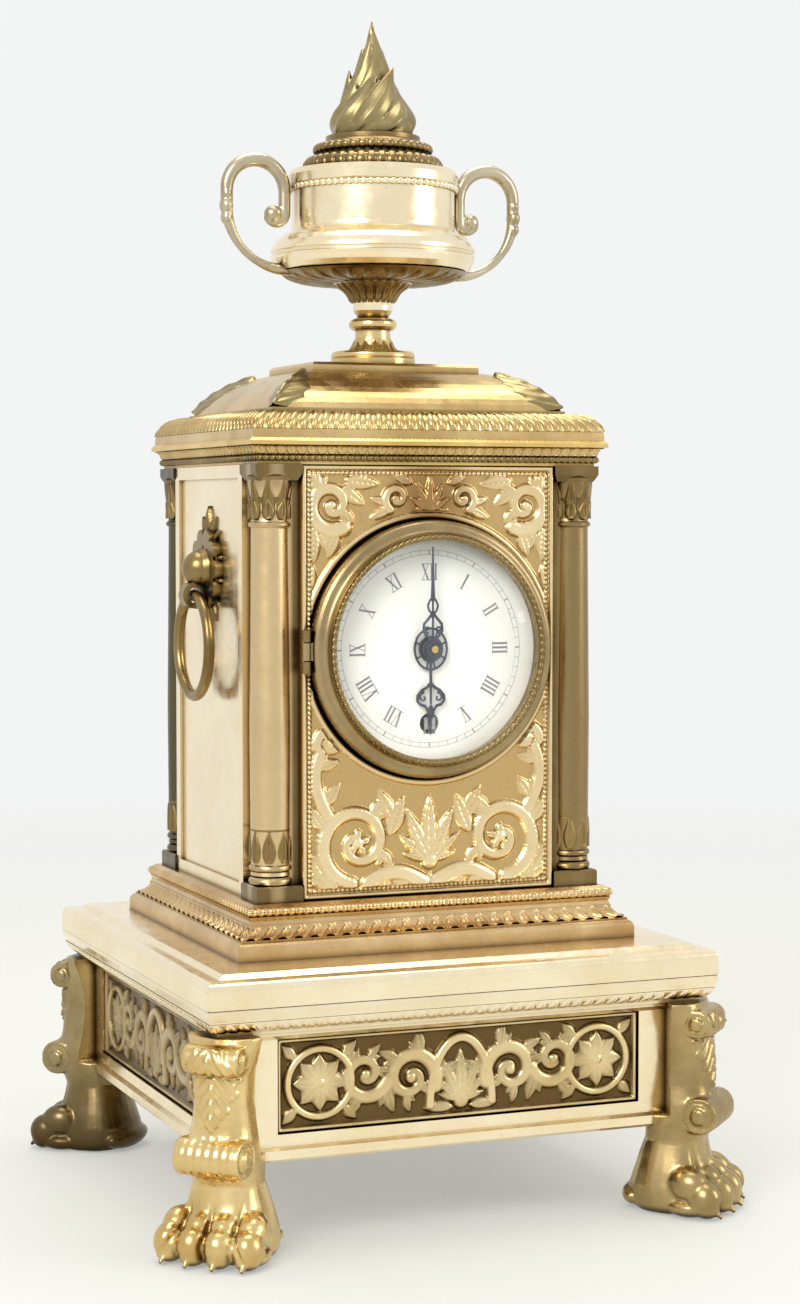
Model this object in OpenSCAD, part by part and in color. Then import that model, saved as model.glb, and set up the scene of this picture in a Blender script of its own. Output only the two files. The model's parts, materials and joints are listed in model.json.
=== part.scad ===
// Gilt brass mantel clock: a square case on a footed platform, under a roof with a two-handled urn.
// Units are millimetres. The origin is on the table, under the middle of the case. The dial faces -Y.

/* [Platform] */
// Width of the platform slab, left to right
slab_w = 188; // [184:1:192]
// Depth of the platform slab, front to back
slab_d = 186; // [182:1:190]
// Height of the four legs, table to slab
leg_h = 74; // [72:1:78]
// Thickness of the platform slab
slab_h = 20; // [18:1:24]
// Height of the apron rails under the slab
apron_h = 44; // [42:1:46]

/* [Case] */
// Width of the case over its corner pillars
case_w = 129; // [127:1:133]
// Depth of the case over its corner pillars
case_d = 112; // [110:1:116]
// Side of one square corner pillar
pillar = 17; // [16:0.5:18]
// Height of the moulding between slab and pillars
plinth_h = 18; // [16:1:20]
// Height of the corner pillars
pillar_h = 150; // [148:1:154]
// Height of the cornice
cornice_h = 9; // [8:0.5:11]
// Height of the roof
roof_h = 28; // [26:1:32]

/* [Dial] */
// Outside diameter of the hinged bezel
bezel_d = 90; // [88:0.5:92]
// Diameter of the dial that shows inside the bezel
dial_open_d = 76; // [74:0.5:78]
// Height of the dial centre above the foot of the pillars
dial_up = 86; // [84:1:88]

/* [Urn] */
// Height of the urn from the roof to the tip of its finial
urn_h = 126; // [122:1:130]
// Widest diameter of the urn
urn_d = 75; // [72:1:78]
// Reach of each handle from the middle of the urn
handle_reach = 58; // [56:0.5:60]

/* [Movement] */
// Distance between the two brass plates
plate_gap = 28; // [28:0.5:29]
// Thickness of each brass plate
plate_t = 2.5; // [2:0.25:3]
// Length of the pendulum, pivot to middle of the bob
pendulum_l = 109; // [106:1:110]
// Radial clearance of a pivot in its hole
run_gap = 0.05; // [0.02:0.01:0.09]

/* [Hidden] */

// Levels above the table
slab_z = leg_h;
plinth_z = slab_z + slab_h;
body_z = plinth_z + plinth_h;
cornice_z = body_z + pillar_h;
roof_z = cornice_z + cornice_h;
urn_z = roof_z + roof_h;
dial_z = body_z + dial_up;

// Half sizes of the case
hw = case_w/2;
hd = case_d/2;
// Inner faces of the pillars
in_x = hw - pillar;
in_y = hd - pillar;

// Walls and steps shared by the case pieces
panel_t = 4;
panel_in = 2;
column_r = 6.8;
front_y = -hd + panel_in;
side_x = hw - panel_in;
slab_top_t = 5;
slab_rim = 12;
apron_in = 7;
apron_wall = 8;
apron_w = slab_w - 2*apron_in;
apron_d = slab_d - 2*apron_in;
apron_z = slab_z - apron_h;
frieze_h = 32;
frieze_z = apron_z + 9;
frieze_t = 4;
frieze_end = 20;
frieze_front_w = apron_w - 2*frieze_end;
frieze_side_w = apron_d - 2*frieze_end;
relief_t = 2;
toe_r = 7.8;
knee_out = 12;
knee_z = 35;
leg_in = 4;
border_t = 1.4;

// Roof outline
eave_w = case_w + 3;
eave_d = case_d + 3;
roof_top_w = 62;

// Urn levels above the roof, as parts of its height
urn_foot_top = 0.16*urn_h;
urn_body_top = 0.56*urn_h;
urn_lid_top = 0.66*urn_h;
urn_r = urn_d/2;
neck_r = 29.8;
rod_r = 2;
rod_hole_r = 2.2;

// Levels of the dial and the hands along Y
dial_front_y = front_y + 0.4;
dial_t = 1.6;
dial_r = dial_open_d/2 + 3.5;
hour_hand_y = dial_front_y - 1.4;
minute_hand_y = dial_front_y - 3.3;
hand_t = 0.7;
collet_t = 1.2;
bezel_back_y = front_y - 0.3;
bezel_t = 9.5;
glass_lip = 6;
glass_edge_y = bezel_back_y - glass_lip + 0.4;
glass_rise = 4.2;
glass_t = 1.5;
glass_r = dial_open_d/2 + 1.6;
bezel_pin = [-bezel_d/2 - 2, front_y - 3.9];
bezel_knuckle_r = 1.6;

// Levels of the movement along Y
plate_a_y = -42.5;
gap_a_y = plate_a_y + plate_t;
gap_b_y = gap_a_y + plate_gap;
plate_b_y = gap_b_y + plate_t;
plate_low_z = dial_z - 52;
plate_high_z = dial_z + 51;
plate_w = 62;

// Tooth forms: addendum and dedendum in modules, share of the pitch, share left at the tip
wheel_tooth = [0.8, 1.4, 0.85, 0.4];
leaf_tooth = [0.6, 1.4, 0.7, 0.5];
// Modules and tooth counts of the going train and the motion work
great_m = 0.6;
great_n = 72;
great_leaf_n = 10;
middle_m = 0.55;
middle_n = 60;
middle_leaf_n = 10;
centre_m = 0.4;
centre_n = 84;
centre_leaf_n = 7;
third_m = 0.36;
third_n = 84;
third_leaf_n = 6;
escape_n = 30;
escape_r = 11;
cannon_m = 0.5;
cannon_n = 12;
minute_n = 36;
hour_m = 0.48;
hour_leaf_n = 10;
hour_n = 40;

// Centres of the arbors in X and Z, from the dial centre
centre_p = [0, dial_z];
barrel_p = [0, dial_z - 26];
middle_p = meet(centre_p, barrel_p, gear_c(middle_m, middle_n, middle_leaf_n),
    gear_c(great_m, great_n, great_leaf_n), 1);
escape_p = [0, dial_z + 28];
third_p = meet(centre_p, escape_p, gear_c(centre_m, centre_n, centre_leaf_n),
    gear_c(third_m, third_n, third_leaf_n), -1);
anchor_p = [0, dial_z + 43.5];
minute_turn = 30;
minute_p = centre_p + gear_c(cannon_m, minute_n, cannon_n)*[cos(minute_turn), sin(minute_turn)];
click_p = barrel_p + [-11.5, 5.5];

// Arbors and pivots
arbor_r = 1.3;
pivot_r = 0.8;
thin_pivot_r = 0.5;
barrel_arbor_r = 3;
shoulder_gap = 0.3;
wheel_t = 1.2;
leaf_t = 4;
cannon_r = 2.3;
hour_pipe_r = 3.6;

// Back door and its pins
door_t = 6;
door_gap = 1;
door_rail = 9;
door_w = 2*(in_x - door_gap);
door_h = pillar_h - 4;
door_z = body_z + 2;
door_y = hd - door_t;
door_pin = [in_x, hd + 2.2];
door_knuckle_r = 2;
latch_p = [-in_x + 4.5, body_z + pillar_h/2];

// Ring handles on the sides
ring_r = 18;
ring_tube_r = 2;
ring_x = side_x + 6.5;
ring_top_z = body_z + 104;
boss_z = ring_top_z + 9.5;

// Pendulum plane
pend_y = plate_b_y + 8;
bob_r = 13;

// Number of facets on small and large round pieces
fine = 48;
round_n = 96;

// Distance between the centres of two gears in mesh
function gear_c(m, n1, n2) = m*(n1 + n2)/2;

// Point at distance ra from a and rb from b, on the side given by the sign s
function meet(a, b, ra, rb, s) =
    let (d = norm(b - a), u = (b - a)/d, k = (ra*ra - rb*rb + d*d)/(2*d), h = sqrt(ra*ra - k*k))
    a + k*u + s*h*[abs(u[1]), abs(u[0])];

// Direction from a to b in degrees
function way(a, b) = atan2(b[1] - a[1], b[0] - a[0]);

// Points on an arc
function arc(cx, cy, r, a0, a1, n) =
    [for (i = [0:n]) [cx + r*cos(a0 + (a1 - a0)*i/n), cy + r*sin(a0 + (a1 - a0)*i/n)]];

// Outline of a gear with straight-sided teeth, one tooth at the angle turn
function gear_pts(n, m, f, turn) =
    let (rp = m*n/2, w = 90/n*f[2])
    [for (i = [0:n - 1])
        for (q = [[rp - f[1]*m, -w], [rp, -w], [rp + f[0]*m, -w*f[3]],
                  [rp + f[0]*m, w*f[3]], [rp, w], [rp - f[1]*m, w]])
            let (a = turn + 360*i/n + q[1]) q[0]*[cos(a), sin(a)]];

// Outline of a tapering spiral
function spiral_pts(r, w, turns, n) =
    let (k = [for (i = [0:n]) let (t = i/n) [r*(1 - 0.78*t), 360*turns*t, w*(1 - 0.45*t)]])
    concat([for (p = k) p[0]*[cos(p[1]), sin(p[1])]],
           [for (i = [n:-1:0]) (k[i][0] - k[i][2])*[cos(k[i][1]), sin(k[i][1])]]);

// A moulding that runs round a rectangle: profile points are [outward step, height]
module mitred(w, d, prof) {
    intersection() {
        translate([0, d, 0]) rotate([90, 0, 0]) linear_extrude(2*d) both_sides(w/2, prof);
        translate([-w, 0, 0]) rotate([90, 0, 90]) linear_extrude(2*w) both_sides(d/2, prof);
    }
}

// A profile and its mirror image, closed across the middle
module both_sides(half, prof) {
    n = len(prof) - 1;
    polygon(concat([for (p = prof) [half + p[0], p[1]]],
        [for (i = [n:-1:0]) [-half - prof[i][0], prof[i][1]]]));
}

// A disc or prism standing along Y, from y0 to y1, at the point p in X and Z
module along_y(p, y0, y1) {
    translate([p[0], y1, p[1]]) rotate([90, 0, 0]) linear_extrude(y1 - y0) children();
}

// A round rod along Y
module rod_y(p, r, y0, y1) {
    translate([p[0], y0, p[1]]) rotate([-90, 0, 0]) cylinder(r = r, h = y1 - y0, $fn = fine);
}

// A wheel or pinion along Y
module gear_y(p, n, m, f, turn, y0, t) {
    along_y(p, y0, y0 + t) polygon(gear_pts(n, m, f, turn));
}

// The openings between the spokes of a wheel
module spokes_y(p, r_in, r_out, count, y0, t) {
    along_y(p, y0 - 1, y0 + t + 1) difference() {
        circle(r = r_out, $fn = fine);
        circle(r = r_in, $fn = fine);
        for (i = [0:count - 1])
            rotate(360*i/count) translate([0, -0.9]) square([r_out + 1, 1.8]);
    }
}

// A plain arbor from y0 to y1 with two pivots of radius r in the plates
module arbor(p, r, y0, y1) {
    rod_y(p, r, gap_a_y - plate_t, gap_b_y + plate_t);
    rod_y(p, arbor_r, y0, y1);
}

// One leg in its own frame: it leans outward along +X, with the paw in front
module leg_shape() {
    ring_n = 20;
    // Height, outward place, half size outward, half size across
    s = [[0, 2, 18.5, 18], [3, 2, 20, 19.5], [10, 1, 19, 19], [16, 0, 16, 17], [21, 0, 13, 14.5],
         [26, 1, 11.5, 12.5], [32, 2.5, 12.5, 13], [38, 3, 12, 12.5], [45, 3, 10.5, 11],
         [leg_h - 21, 3.5, 9.5, 10], [leg_h - 12, 3, 9.5, 10.5], [leg_h - 5, 1.5, 10, 12.5],
         [leg_h, 0, 10.5, 14]];
    pts = [for (r = s) for (i = [0:ring_n - 1])
        let (a = 360*i/ring_n, c = cos(a), d = sin(a))
        [r[1] + r[2]*sign(c)*pow(abs(c), 0.8), r[3]*sign(d)*pow(abs(d), 0.8), r[0]]];
    m = len(s);
    faces = concat(
        [[for (i = [0:ring_n - 1]) i]],
        [for (j = [0:m - 2]) for (i = [0:ring_n - 1])
            let (a = j*ring_n + i, b = j*ring_n + (i + 1)%ring_n)
                each [[a, a + ring_n, b + ring_n], [a, b + ring_n, b]]],
        [[for (i = [ring_n - 1:-1:0]) (m - 1)*ring_n + i]]);
    polyhedron(pts, faces, convexity = 4);
    // Toes
    for (k = [-1.5:1:1.5])
        translate([16.4 - 0.9*k*k, 9.4*k, toe_r]) sphere(r = toe_r, $fn = 32);
    // Scrolls rolled across the knee and under the slab
    translate([knee_out, 0, knee_z]) rotate([90, 0, 0]) cylinder(r = 6.5, h = 24, center = true, $fn = fine);
    translate([knee_out, 0, knee_z]) rotate([90, 0, 0]) cylinder(r = 2.6, h = 27, center = true, $fn = fine);
    translate([10.5, 0, leg_h - 7]) rotate([90, 0, 0]) cylinder(r = 5, h = 21, center = true, $fn = fine);
}

// One leg at the corner given by the two signs
module leg(sx, sy) {
    color("goldenrod")
        translate([sx*(apron_w/2 - leg_in), sy*(apron_d/2 - leg_in), 0])
            rotate(sx > 0 ? sy*45 : 180 - sy*45)
                difference() {
                    leg_shape();
                    // Socket for the corner of the apron
                    translate([leg_in*sqrt(2), 0, apron_z]) rotate(135) cube([60, 60, leg_h]);
                }
}

// Rectangular apron of cast rails with a window in each side
module apron_frame() {
    color("burlywood") difference() {
        mitred(apron_w, apron_d, [[-1, apron_z], [0, apron_z + 1], [0, apron_z + 4], [-1.5, apron_z + 5],
            [-1.5, slab_z - 3], [0, slab_z - 1.5], [0, slab_z]]);
        translate([0, 0, apron_z + apron_h/2])
            cube([apron_w - 2*apron_wall, apron_d - 2*apron_wall, 2*apron_h], center = true);
        for (s = [-1, 1]) {
            translate([0, s*apron_d/2, frieze_z + frieze_h/2])
                cube([frieze_front_w, 2*(frieze_t + 2), frieze_h], center = true);
            translate([s*apron_w/2, 0, frieze_z + frieze_h/2])
                cube([2*(frieze_t + 2), frieze_side_w, frieze_h], center = true);
        }
    }
}

// Six-petal rosette in a ring, flat in X and Y
module rosette(r) {
    difference() {
        circle(r = r, $fn = fine);
        circle(r = r*0.82, $fn = fine);
    }
    for (i = [0:5]) rotate(60*i) translate([r*0.42, 0]) circle(r = r*0.24, $fn = 24);
    circle(r = r*0.26, $fn = 24);
}

// Scroll foliage that fills a long panel: a rosette in the middle and at each end, running scrolls between
module frieze_relief(w, h) {
    r = h*0.30;
    for (s = [-1, 1]) {
        translate([s*(w/2 - h*0.42), 0]) rosette(h*0.36);
        for (k = [0:1])
            translate([s*(h*0.62 + k*h*0.74), (k - 0.5)*h*0.22]) mirror([s > 0 ? 0 : 1, 0])
                rotate(k*180 + 20) polygon(spiral_pts(r, 2.2, 1.4, 22));
    }
    translate([0, -h*0.38]) palmette(h*0.8, 5);
}

// One frieze plate with its relief, seated in the window of the apron
module frieze(w) {
    color("darkkhaki") {
        translate([0, 0, frieze_z + frieze_h/2]) rotate([90, 0, 0]) {
            translate([-w/2, -frieze_h/2, 0]) cube([w, frieze_h, frieze_t - relief_t]);
            linear_extrude(frieze_t - 0.4) difference() {
                square([w, frieze_h], center = true);
                square([w - 3.2, frieze_h - 3.2], center = true);
            }
            linear_extrude(frieze_t) intersection() {
                frieze_relief(w - 4, frieze_h - 4);
                square([w - 2, frieze_h - 2], center = true);
            }
        }
    }
}

// A frieze plate turned to one of the four sides
module frieze_at(turn, w, half) {
    rotate(turn) translate([0, -half + frieze_t + 2, 0]) frieze(w);
}

// Platform slab: a moulded tray, open below
module platform_slab() {
    e = slab_z;
    prof = concat([[-5, e], [-5, e + 1.5]], arc(-5, e + 5.5, 4, -90, 0, 6), arc(-3, e + 8, 3, 0, 60, 3),
        [[0, e + 9.5], [0, e + slab_h - 4.5]], arc(-3, e + slab_h - 4.5, 3, 0, 90, 6),
        [[-6, e + slab_h - 1.5], [-8, e + slab_h]]);
    color("moccasin") difference() {
        mitred(slab_w, slab_d, prof);
        translate([0, 0, e - 1 + (slab_h - slab_top_t)/2])
            cube([slab_w - 2*slab_rim, slab_d - 2*slab_rim, slab_h - slab_top_t + 2], center = true);
        for (x = [-1, 1]) for (y = [-1, 1])
            translate([x*bolt_x, y*bolt_y, e]) cylinder(r = bolt_hole_r, h = slab_h + 2, $fn = 32);
    }
}

// Moulding under the pillars, hollow below its floor
module case_plinth() {
    z = plinth_z;
    prof = concat([[10, z], [10, z + 3.5]], arc(7, z + 3.5, 3, 0, 70, 4), arc(8.6, z + 12, 5.2, -95, -175, 6),
        [[3, z + 12.6], [3.6, z + 14]], arc(2.4, z + 15.6, 1.6, -60, 60, 5), [[1.5, z + plinth_h]]);
    color("peru") difference() {
        mitred(case_w, case_d, prof);
        translate([0, 0, z - 1 + (plinth_h - slab_top_t)/2])
            cube([case_w - 16, case_d - 16, plinth_h - slab_top_t + 2], center = true);
        for (x = [-1, 1]) for (y = [-1, 1])
            translate([x*bolt_x, y*bolt_y, z]) cylinder(r = bolt_hole_r, h = plinth_h + 2, $fn = 32);
    }
}

// Bolts that pull the case down on the slab, with their nuts below
bolt_x = 40;
bolt_y = 28;
bolt_r = 2;
bolt_hole_r = 2.1;
module base_bolts() {
    head_z = plinth_z + plinth_h;
    nut_z = plinth_z - slab_top_t;
    color("silver") for (x = [-1, 1]) for (y = [-1, 1]) translate([x*bolt_x, y*bolt_y, 0]) {
        translate([0, 0, nut_z - 5]) cylinder(r = bolt_r, h = head_z - nut_z + 5, $fn = 32);
        translate([0, 0, head_z]) cylinder(r = 3.6, h = 2, $fn = 32);
        translate([0, 0, nut_z - 3.2]) cylinder(r = 3.8, h = 3.2, $fn = 6);
    }
}

// Corner pillar: a round column with base and capital, backed by a square post
module pillar(sx, sy) {
    z = body_z;
    h = pillar_h;
    half = pillar/2;
    core = 13;
    c = [sx*(hw - half), sy*(hd - half)];
    core_d = sy > 0 ? pillar : core;
    color("darkgoldenrod") difference() {
        union() {
            // Column with its base rings, a slight swelling and a bell capital
            translate([sx*(hw - half + 0.9), sy*(hd - half + 0.9), z]) rotate_extrude($fn = round_n)
                polygon(concat([[0, 5]], arc(6, 7, 1.6, -90, 90, 6), [[6.9, 9], [6.7, 10.2]],
                    arc(6.3, 11.6, 1.2, -90, 70, 5), [[column_r, 14], [column_r + 0.3, h*0.4]],
                    [[column_r - 0.4, h - 22]], arc(column_r - 0.4, h - 20.6, 1, -80, 80, 5),
                    [[column_r - 0.5, h - 18.5], [column_r - 0.3, h - 13], [column_r + 0.7, h - 7]],
                    [[column_r + 0.9, h - 4], [0, h - 4]]));
            // Square base and abacus
            translate([c[0], c[1], 0]) {
                mitred(pillar, pillar, [[0, z], [0, z + 5], [-0.6, z + 5.6]]);
                mitred(pillar, pillar, [[-1.4, z + h - 5.5], [-0.5, z + h - 4], [0, z + h - 3], [0, z + h]]);
            }
            // Square post behind the column, which the panels butt against
            translate([sx*(in_x + core/2), sy*(in_y + core_d/2), z + h/2])
                cube([core, core_d, h], center = true);
        }
        // Slot for the tongue of the door latch
        if (sx < 0 && sy > 0)
            translate([-in_x - 3.6, door_y - 4.5, latch_p[1] - 8.5]) cube([8, 4, 17]);
    }
}

// Cornice: a moulded lid on the pillars
module cornice() {
    z = cornice_z;
    prof = concat([[0.8, z]], arc(0.8, z + 2.3, 1.1, -90, 60, 6),
        arc(4.6, z + 3.6, 3, 180, 110, 5), [[4.6, z + 6.6], [4.6, z + 8], [3.6, z + cornice_h]]);
    color("khaki") difference() {
        mitred(case_w - 4, case_d - 4, prof);
        translate([0, 0, z]) cube([2*in_x - 4, 2*in_y - 4, 2*(cornice_h - 4)], center = true);
        translate([0, 0, z]) cylinder(r = rod_hole_r, h = 2*cornice_h, center = true, $fn = 32);
    }
}

// Roof profile: a rounded eave, a ledge, and a dome up to the flat top
function roof_prof(z, top) = concat([[0, z], [0, z + 1.5]],
    [for (a = [15:15:75]) [-8.5*(1 - cos(a)), z + 1.5 + 8*sin(a)]],
    [[-8.5, z + 9.5], [-10.5, z + 9.5], [-10.5, z + 10.7]],
    [for (a = [0:10:80]) let (t = a/90) [-11.5 - (top - 13.5)*(0.5*(1 - cos(a)) + 0.5*t),
        z + 10.7 + (roof_h - 13.7)*(0.5*sin(a) + 0.5*t)]],
    [[-top + 1, z + roof_h - 3], [-top + 1, z + roof_h - 1], [-top, z + roof_h]]);

// Hollow roof with a hole for the tie rod
module roof() {
    draw = (eave_w - roof_top_w)/2;
    inner = roof_prof(roof_z - 4, draw);
    color("darkkhaki") difference() {
        mitred(eave_w, eave_d, roof_prof(roof_z, draw));
        mitred(eave_w - 12, eave_d - 12, inner);
        translate([0, 0, roof_z]) cylinder(r = rod_hole_r, h = 2*roof_h, $fn = 32);
    }
}

// Foot and stem of the urn
module urn_stem() {
    z = urn_z;
    h = urn_foot_top;
    color("khaki") difference() {
        rotate_extrude($fn = round_n)
            polygon(concat([[0, z], [15.5, z], [15.5, z + 2.4]], arc(13.6, z + 3.6, 1.8, -30, 70, 5),
                arc(14.5, z + 11, 8, -110, -176, 6), [[6.4, z + h - 7]], arc(6.6, z + h - 5, 2.2, -70, 70, 6),
                [[5.6, z + h - 2.4], [7.2, z + h], [0, z + h]]));
        translate([0, 0, z - 1]) cylinder(r = rod_hole_r, h = h + 2, $fn = 32);
    }
}

// Outside of the urn: a cup below, a low round belly, and an upright neck with a rim
module urn_outside() {
    z = urn_z + urn_foot_top;
    h = urn_body_top - urn_foot_top;
    belly = urn_r - 23;
    rotate_extrude($fn = round_n)
        polygon(concat([[0, z], [7.2, z]], arc(16.5, z + 1, 9.2, 175, 100, 5), [[16, z + 0.2*h]],
            [for (a = [-84:12:60]) [23 + belly*cos(a), z + 0.4*h + 0.19*h*sin(a)]],
            [[neck_r + 0.2, z + 0.575*h], [neck_r, z + 0.6*h], [neck_r, z + 0.87*h], [neck_r + 1.2, z + 0.9*h],
            [neck_r + 1.4, z + 0.96*h], [neck_r + 0.4, z + h], [0, z + h]]));
}

// Bowl of the urn
module urn_body() {
    z = urn_z + urn_foot_top;
    h = urn_body_top - urn_foot_top;
    color("moccasin") difference() {
        urn_outside();
        // Groove round the belly
        translate([0, 0, z + 0.4*h]) rotate_extrude($fn = round_n)
            translate([urn_r + 0.2, 0]) circle(r = 0.9, $fn = 16);
        // Hollow of the bowl, under the lid
        translate([0, 0, z + 0.3*h]) cylinder(r = 24, h = 0.7*h + 1, $fn = round_n);
        translate([0, 0, z - 1]) cylinder(r = rod_hole_r, h = h + 2, $fn = 32);
    }
}

// Centre line of an urn handle in X and Z: a hook by the shoulder, a high loop, and a foot under the belly
function handle_line(z) = concat(
    arc(37.6, z + 34, 3.4, 320, 180, 7),
    arc(handle_reach - 12.9, z + 42, 10.9, 180, 0, 14),
    arc(handle_reach - 24, z + 36, 22, 0, -84, 12),
    [[31, z + 14]]);
module urn_handle(side) {
    line = handle_line(urn_z + urn_foot_top);
    tube = 2.4;
    sides = 10;
    n = len(line);
    function dir(i) = let (a = line[max(0, i - 1)], b = line[min(n - 1, i + 1)]) (b - a)/norm(b - a);
    pts = [for (i = [0:n - 1]) for (k = [0:sides - 1])
        let (q = 360*k/sides, t = dir(i), w = tube*(i < 7 ? 0.8 : 1))
        [line[i][0] + w*cos(q)*t[1], w*1.25*sin(q), line[i][1] - w*cos(q)*t[0]]];
    faces = concat([[for (k = [0:sides - 1]) k]],
        [for (i = [0:n - 2]) for (k = [0:sides - 1])
            let (a = i*sides + k, b = i*sides + (k + 1)%sides)
                each [[a, a + sides, b + sides], [a, b + sides, b]]],
        [[for (k = [sides - 1:-1:0]) (n - 1)*sides + k]]);
    color("tan") mirror([side > 0 ? 0 : 1, 0, 0]) difference() {
        union() {
            polyhedron(pts, faces, convexity = 6);
            // Ball at the end of the hook
            translate([line[0][0], 0, line[0][1]]) sphere(r = 3.3, $fn = 32);
        }
        urn_outside();
    }
}

// Lid of the urn with its knop
module urn_lid() {
    z = urn_z + urn_body_top;
    h = urn_lid_top - urn_body_top;
    color("olive") difference() {
        rotate_extrude($fn = round_n)
            polygon(concat([[0, z], [25, z], [25, z + 1.5]], arc(23.2, z + 2.6, 1.8, -30, 80, 5),
                [[21.4, z + 4.6], [20.6, z + 6]], arc(19.6, z + 7.8, 1.8, -60, 80, 5),
                [[18.4, z + 9.9], [17.2, z + h - 1.6], [17.2, z + h], [0, z + h]]));
        translate([0, 0, z - 1]) cylinder(r = rod_hole_r, h = h + 2, $fn = 32);
    }
}

// Flame finial: a lobed cone that twists to a point
module finial() {
    z = urn_z + urn_lid_top;
    h = urn_h - urn_lid_top;
    rings = 15;
    lobes = 6;
    n = 42;
    pts = [for (j = [0:rings - 1]) let (t = j/rings,
            r = 16.4*pow(1 - t, 0.85)*(0.92 + 0.16*sin(180*min(1, t/0.35))))
        for (i = [0:n - 1]) let (a = 360*i/n, q = r*(1 + 0.12*cos(lobes*a)))
            [q*cos(a + 80*t), q*sin(a + 80*t), z + t*h]];
    top = [[0, 0, z + h]];
    faces = concat([[for (i = [0:n - 1]) i]],
        [for (j = [0:rings - 2]) for (i = [0:n - 1])
            let (a = j*n + i, b = j*n + (i + 1)%n) each [[a, a + n, b + n], [a, b + n, b]]],
        [for (i = [0:n - 1]) [(rings - 1)*n + i, rings*n, (rings - 1)*n + (i + 1)%n]]);
    color("darkolivegreen") difference() {
        polyhedron(concat(pts, top), faces, convexity = 6);
        translate([0, 0, z - 1]) cylinder(r = rod_hole_r, h = 13, $fn = 32);
    }
}

// Rod that clamps the finial, the urn and the roof to the cornice
module urn_tie_rod() {
    color("silver") {
        translate([0, 0, cornice_z + cornice_h - 12])
            cylinder(r = rod_r, h = roof_h + urn_lid_top + 22, $fn = 32);
        translate([0, 0, cornice_z + cornice_h - 8]) cylinder(r = 5, h = 4, $fn = 6);
    }
}

// Front panel with the dial opening and relief scrolls
module front_panel() {
    hole_r = dial_r + 0.2;
    color("wheat") difference() {
        union() {
            translate([-in_x, front_y, body_z]) cube([2*in_x, panel_t, pillar_h]);
            // Raised border
            along_y([0, body_z + pillar_h/2], front_y - border_t, front_y) difference() {
                square([2*in_x, pillar_h], center = true);
                square([2*in_x - 3.6, pillar_h - 3.6], center = true);
            }
            // Scrolls under the dial and over it
            along_y([0, dial_z], front_y - relief_t, front_y) difference() {
                front_relief();
                circle(r = bezel_d/2 + 0.8, $fn = round_n);
            }
        }
        rod_y([0, dial_z], hole_r, front_y - 5, dial_front_y + dial_t);
        rod_y([0, dial_z], hole_r - 2.5, front_y, front_y + panel_t + 5);
    }
}

// Flat outline of the foliage on the front panel: scrolls below, spandrels, and a crest over the dial
module front_relief() {
    low = -dial_up + 3;
    high = pillar_h - dial_up - 3;
    for (s = [0, 1]) mirror([s, 0]) {
        // Large scrolls under the dial, with a leaf off each
        translate([27, low + 15]) rotate(60) polygon(spiral_pts(12, 3.4, 1.5, 26));
        translate([10.5, low + 7]) rotate(200) polygon(spiral_pts(6.5, 2.4, 1.3, 20));
        translate([38, low + 27]) rotate(65) leaf(15, 7);
        translate([38, low + 6]) rotate(-20) leaf(8, 5);
        translate([16, low + 20]) rotate(140) leaf(11, 5);
        // Spandrels
        translate([37.5, high - 9.5]) rotate(-60) polygon(spiral_pts(7.5, 2.4, 1.3, 22));
        translate([28, high - 5]) rotate(190) leaf(12, 5.5);
        translate([41, high - 18]) rotate(-85) leaf(12, 5);
        // Bow of the crest
        translate([8.5, high - 7.5]) rotate(200) polygon(spiral_pts(5.2, 2, 1.1, 18));
    }
    translate([0, low + 20]) palmette(12, 5);
    translate([0, low + 6]) rosette(6);
    translate([0, high - 14]) palmette(14, 5);
}

// Pointed leaf along +X, with its root at the origin
module leaf(l, w) {
    r = (l*l + w*w)/(4*w);
    intersection() {
        translate([l/2, r - w/2]) circle(r = r, $fn = round_n);
        translate([l/2, w/2 - r]) circle(r = r, $fn = round_n);
    }
}

// Fan of leaves that opens upward
module palmette(r, count) {
    mid = (count - 1)/2;
    for (i = [0:count - 1])
        rotate(90 + 34*(i - mid)) leaf(r*(1 - 0.12*abs(i - mid)), r*0.32);
    circle(r = r*0.2, $fn = 24);
}

// Side panel with a raised moulded border
module side_panel(s) {
    color("wheat") {
        translate([s*(side_x - panel_t/2), 0, body_z + pillar_h/2])
            cube([panel_t, 2*in_y, pillar_h], center = true);
        translate([s*(side_x + 0.6), 0, body_z + pillar_h/2]) difference() {
            cube([1.2, 2*in_y, pillar_h], center = true);
            cube([4, 2*in_y - 9, pillar_h - 9], center = true);
        }
    }
}

// Rosette with a boss and the eye that the ring hangs from
module handle_boss(s) {
    color("saddlebrown") {
        translate([s*side_x, 0, boss_z]) rotate([0, s*90, 0]) difference() {
            union() {
                cylinder(r = 12.5, h = 2, $fn = fine);
                for (i = [0:9]) rotate(36*i + 18) translate([10.8, 0, 0]) cylinder(r = 3.6, h = 3, $fn = 24);
                cylinder(r1 = 9, r2 = 6.5, h = 5, $fn = fine);
                translate([0, 0, 4]) sphere(r = 6.6, $fn = fine);
            }
            translate([0, 0, -10]) cylinder(r = 20, h = 10, $fn = fine);
        }
        difference() {
            union() {
                translate([s*ring_x, 0, ring_top_z]) rotate([90, 0, 0])
                    cylinder(r = 4.8, h = 5.6, center = true, $fn = fine);
                translate([s*(side_x + ring_x)/2, 0, ring_top_z + 3.2])
                    cube([ring_x - side_x, 5.6, 6.4], center = true);
            }
            translate([s*ring_x, 0, ring_top_z]) rotate([90, 0, 0])
                cylinder(r = 2.9, h = 12, center = true, $fn = fine);
        }
    }
}

// Ring that hangs in the eye
module ring_handle(s) {
    color("goldenrod") translate([s*ring_x, 0, ring_top_z - ring_r]) rotate([0, 90, 0])
        rotate_extrude($fn = round_n) translate([ring_r, 0]) circle(r = ring_tube_r, $fn = 24);
}

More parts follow.
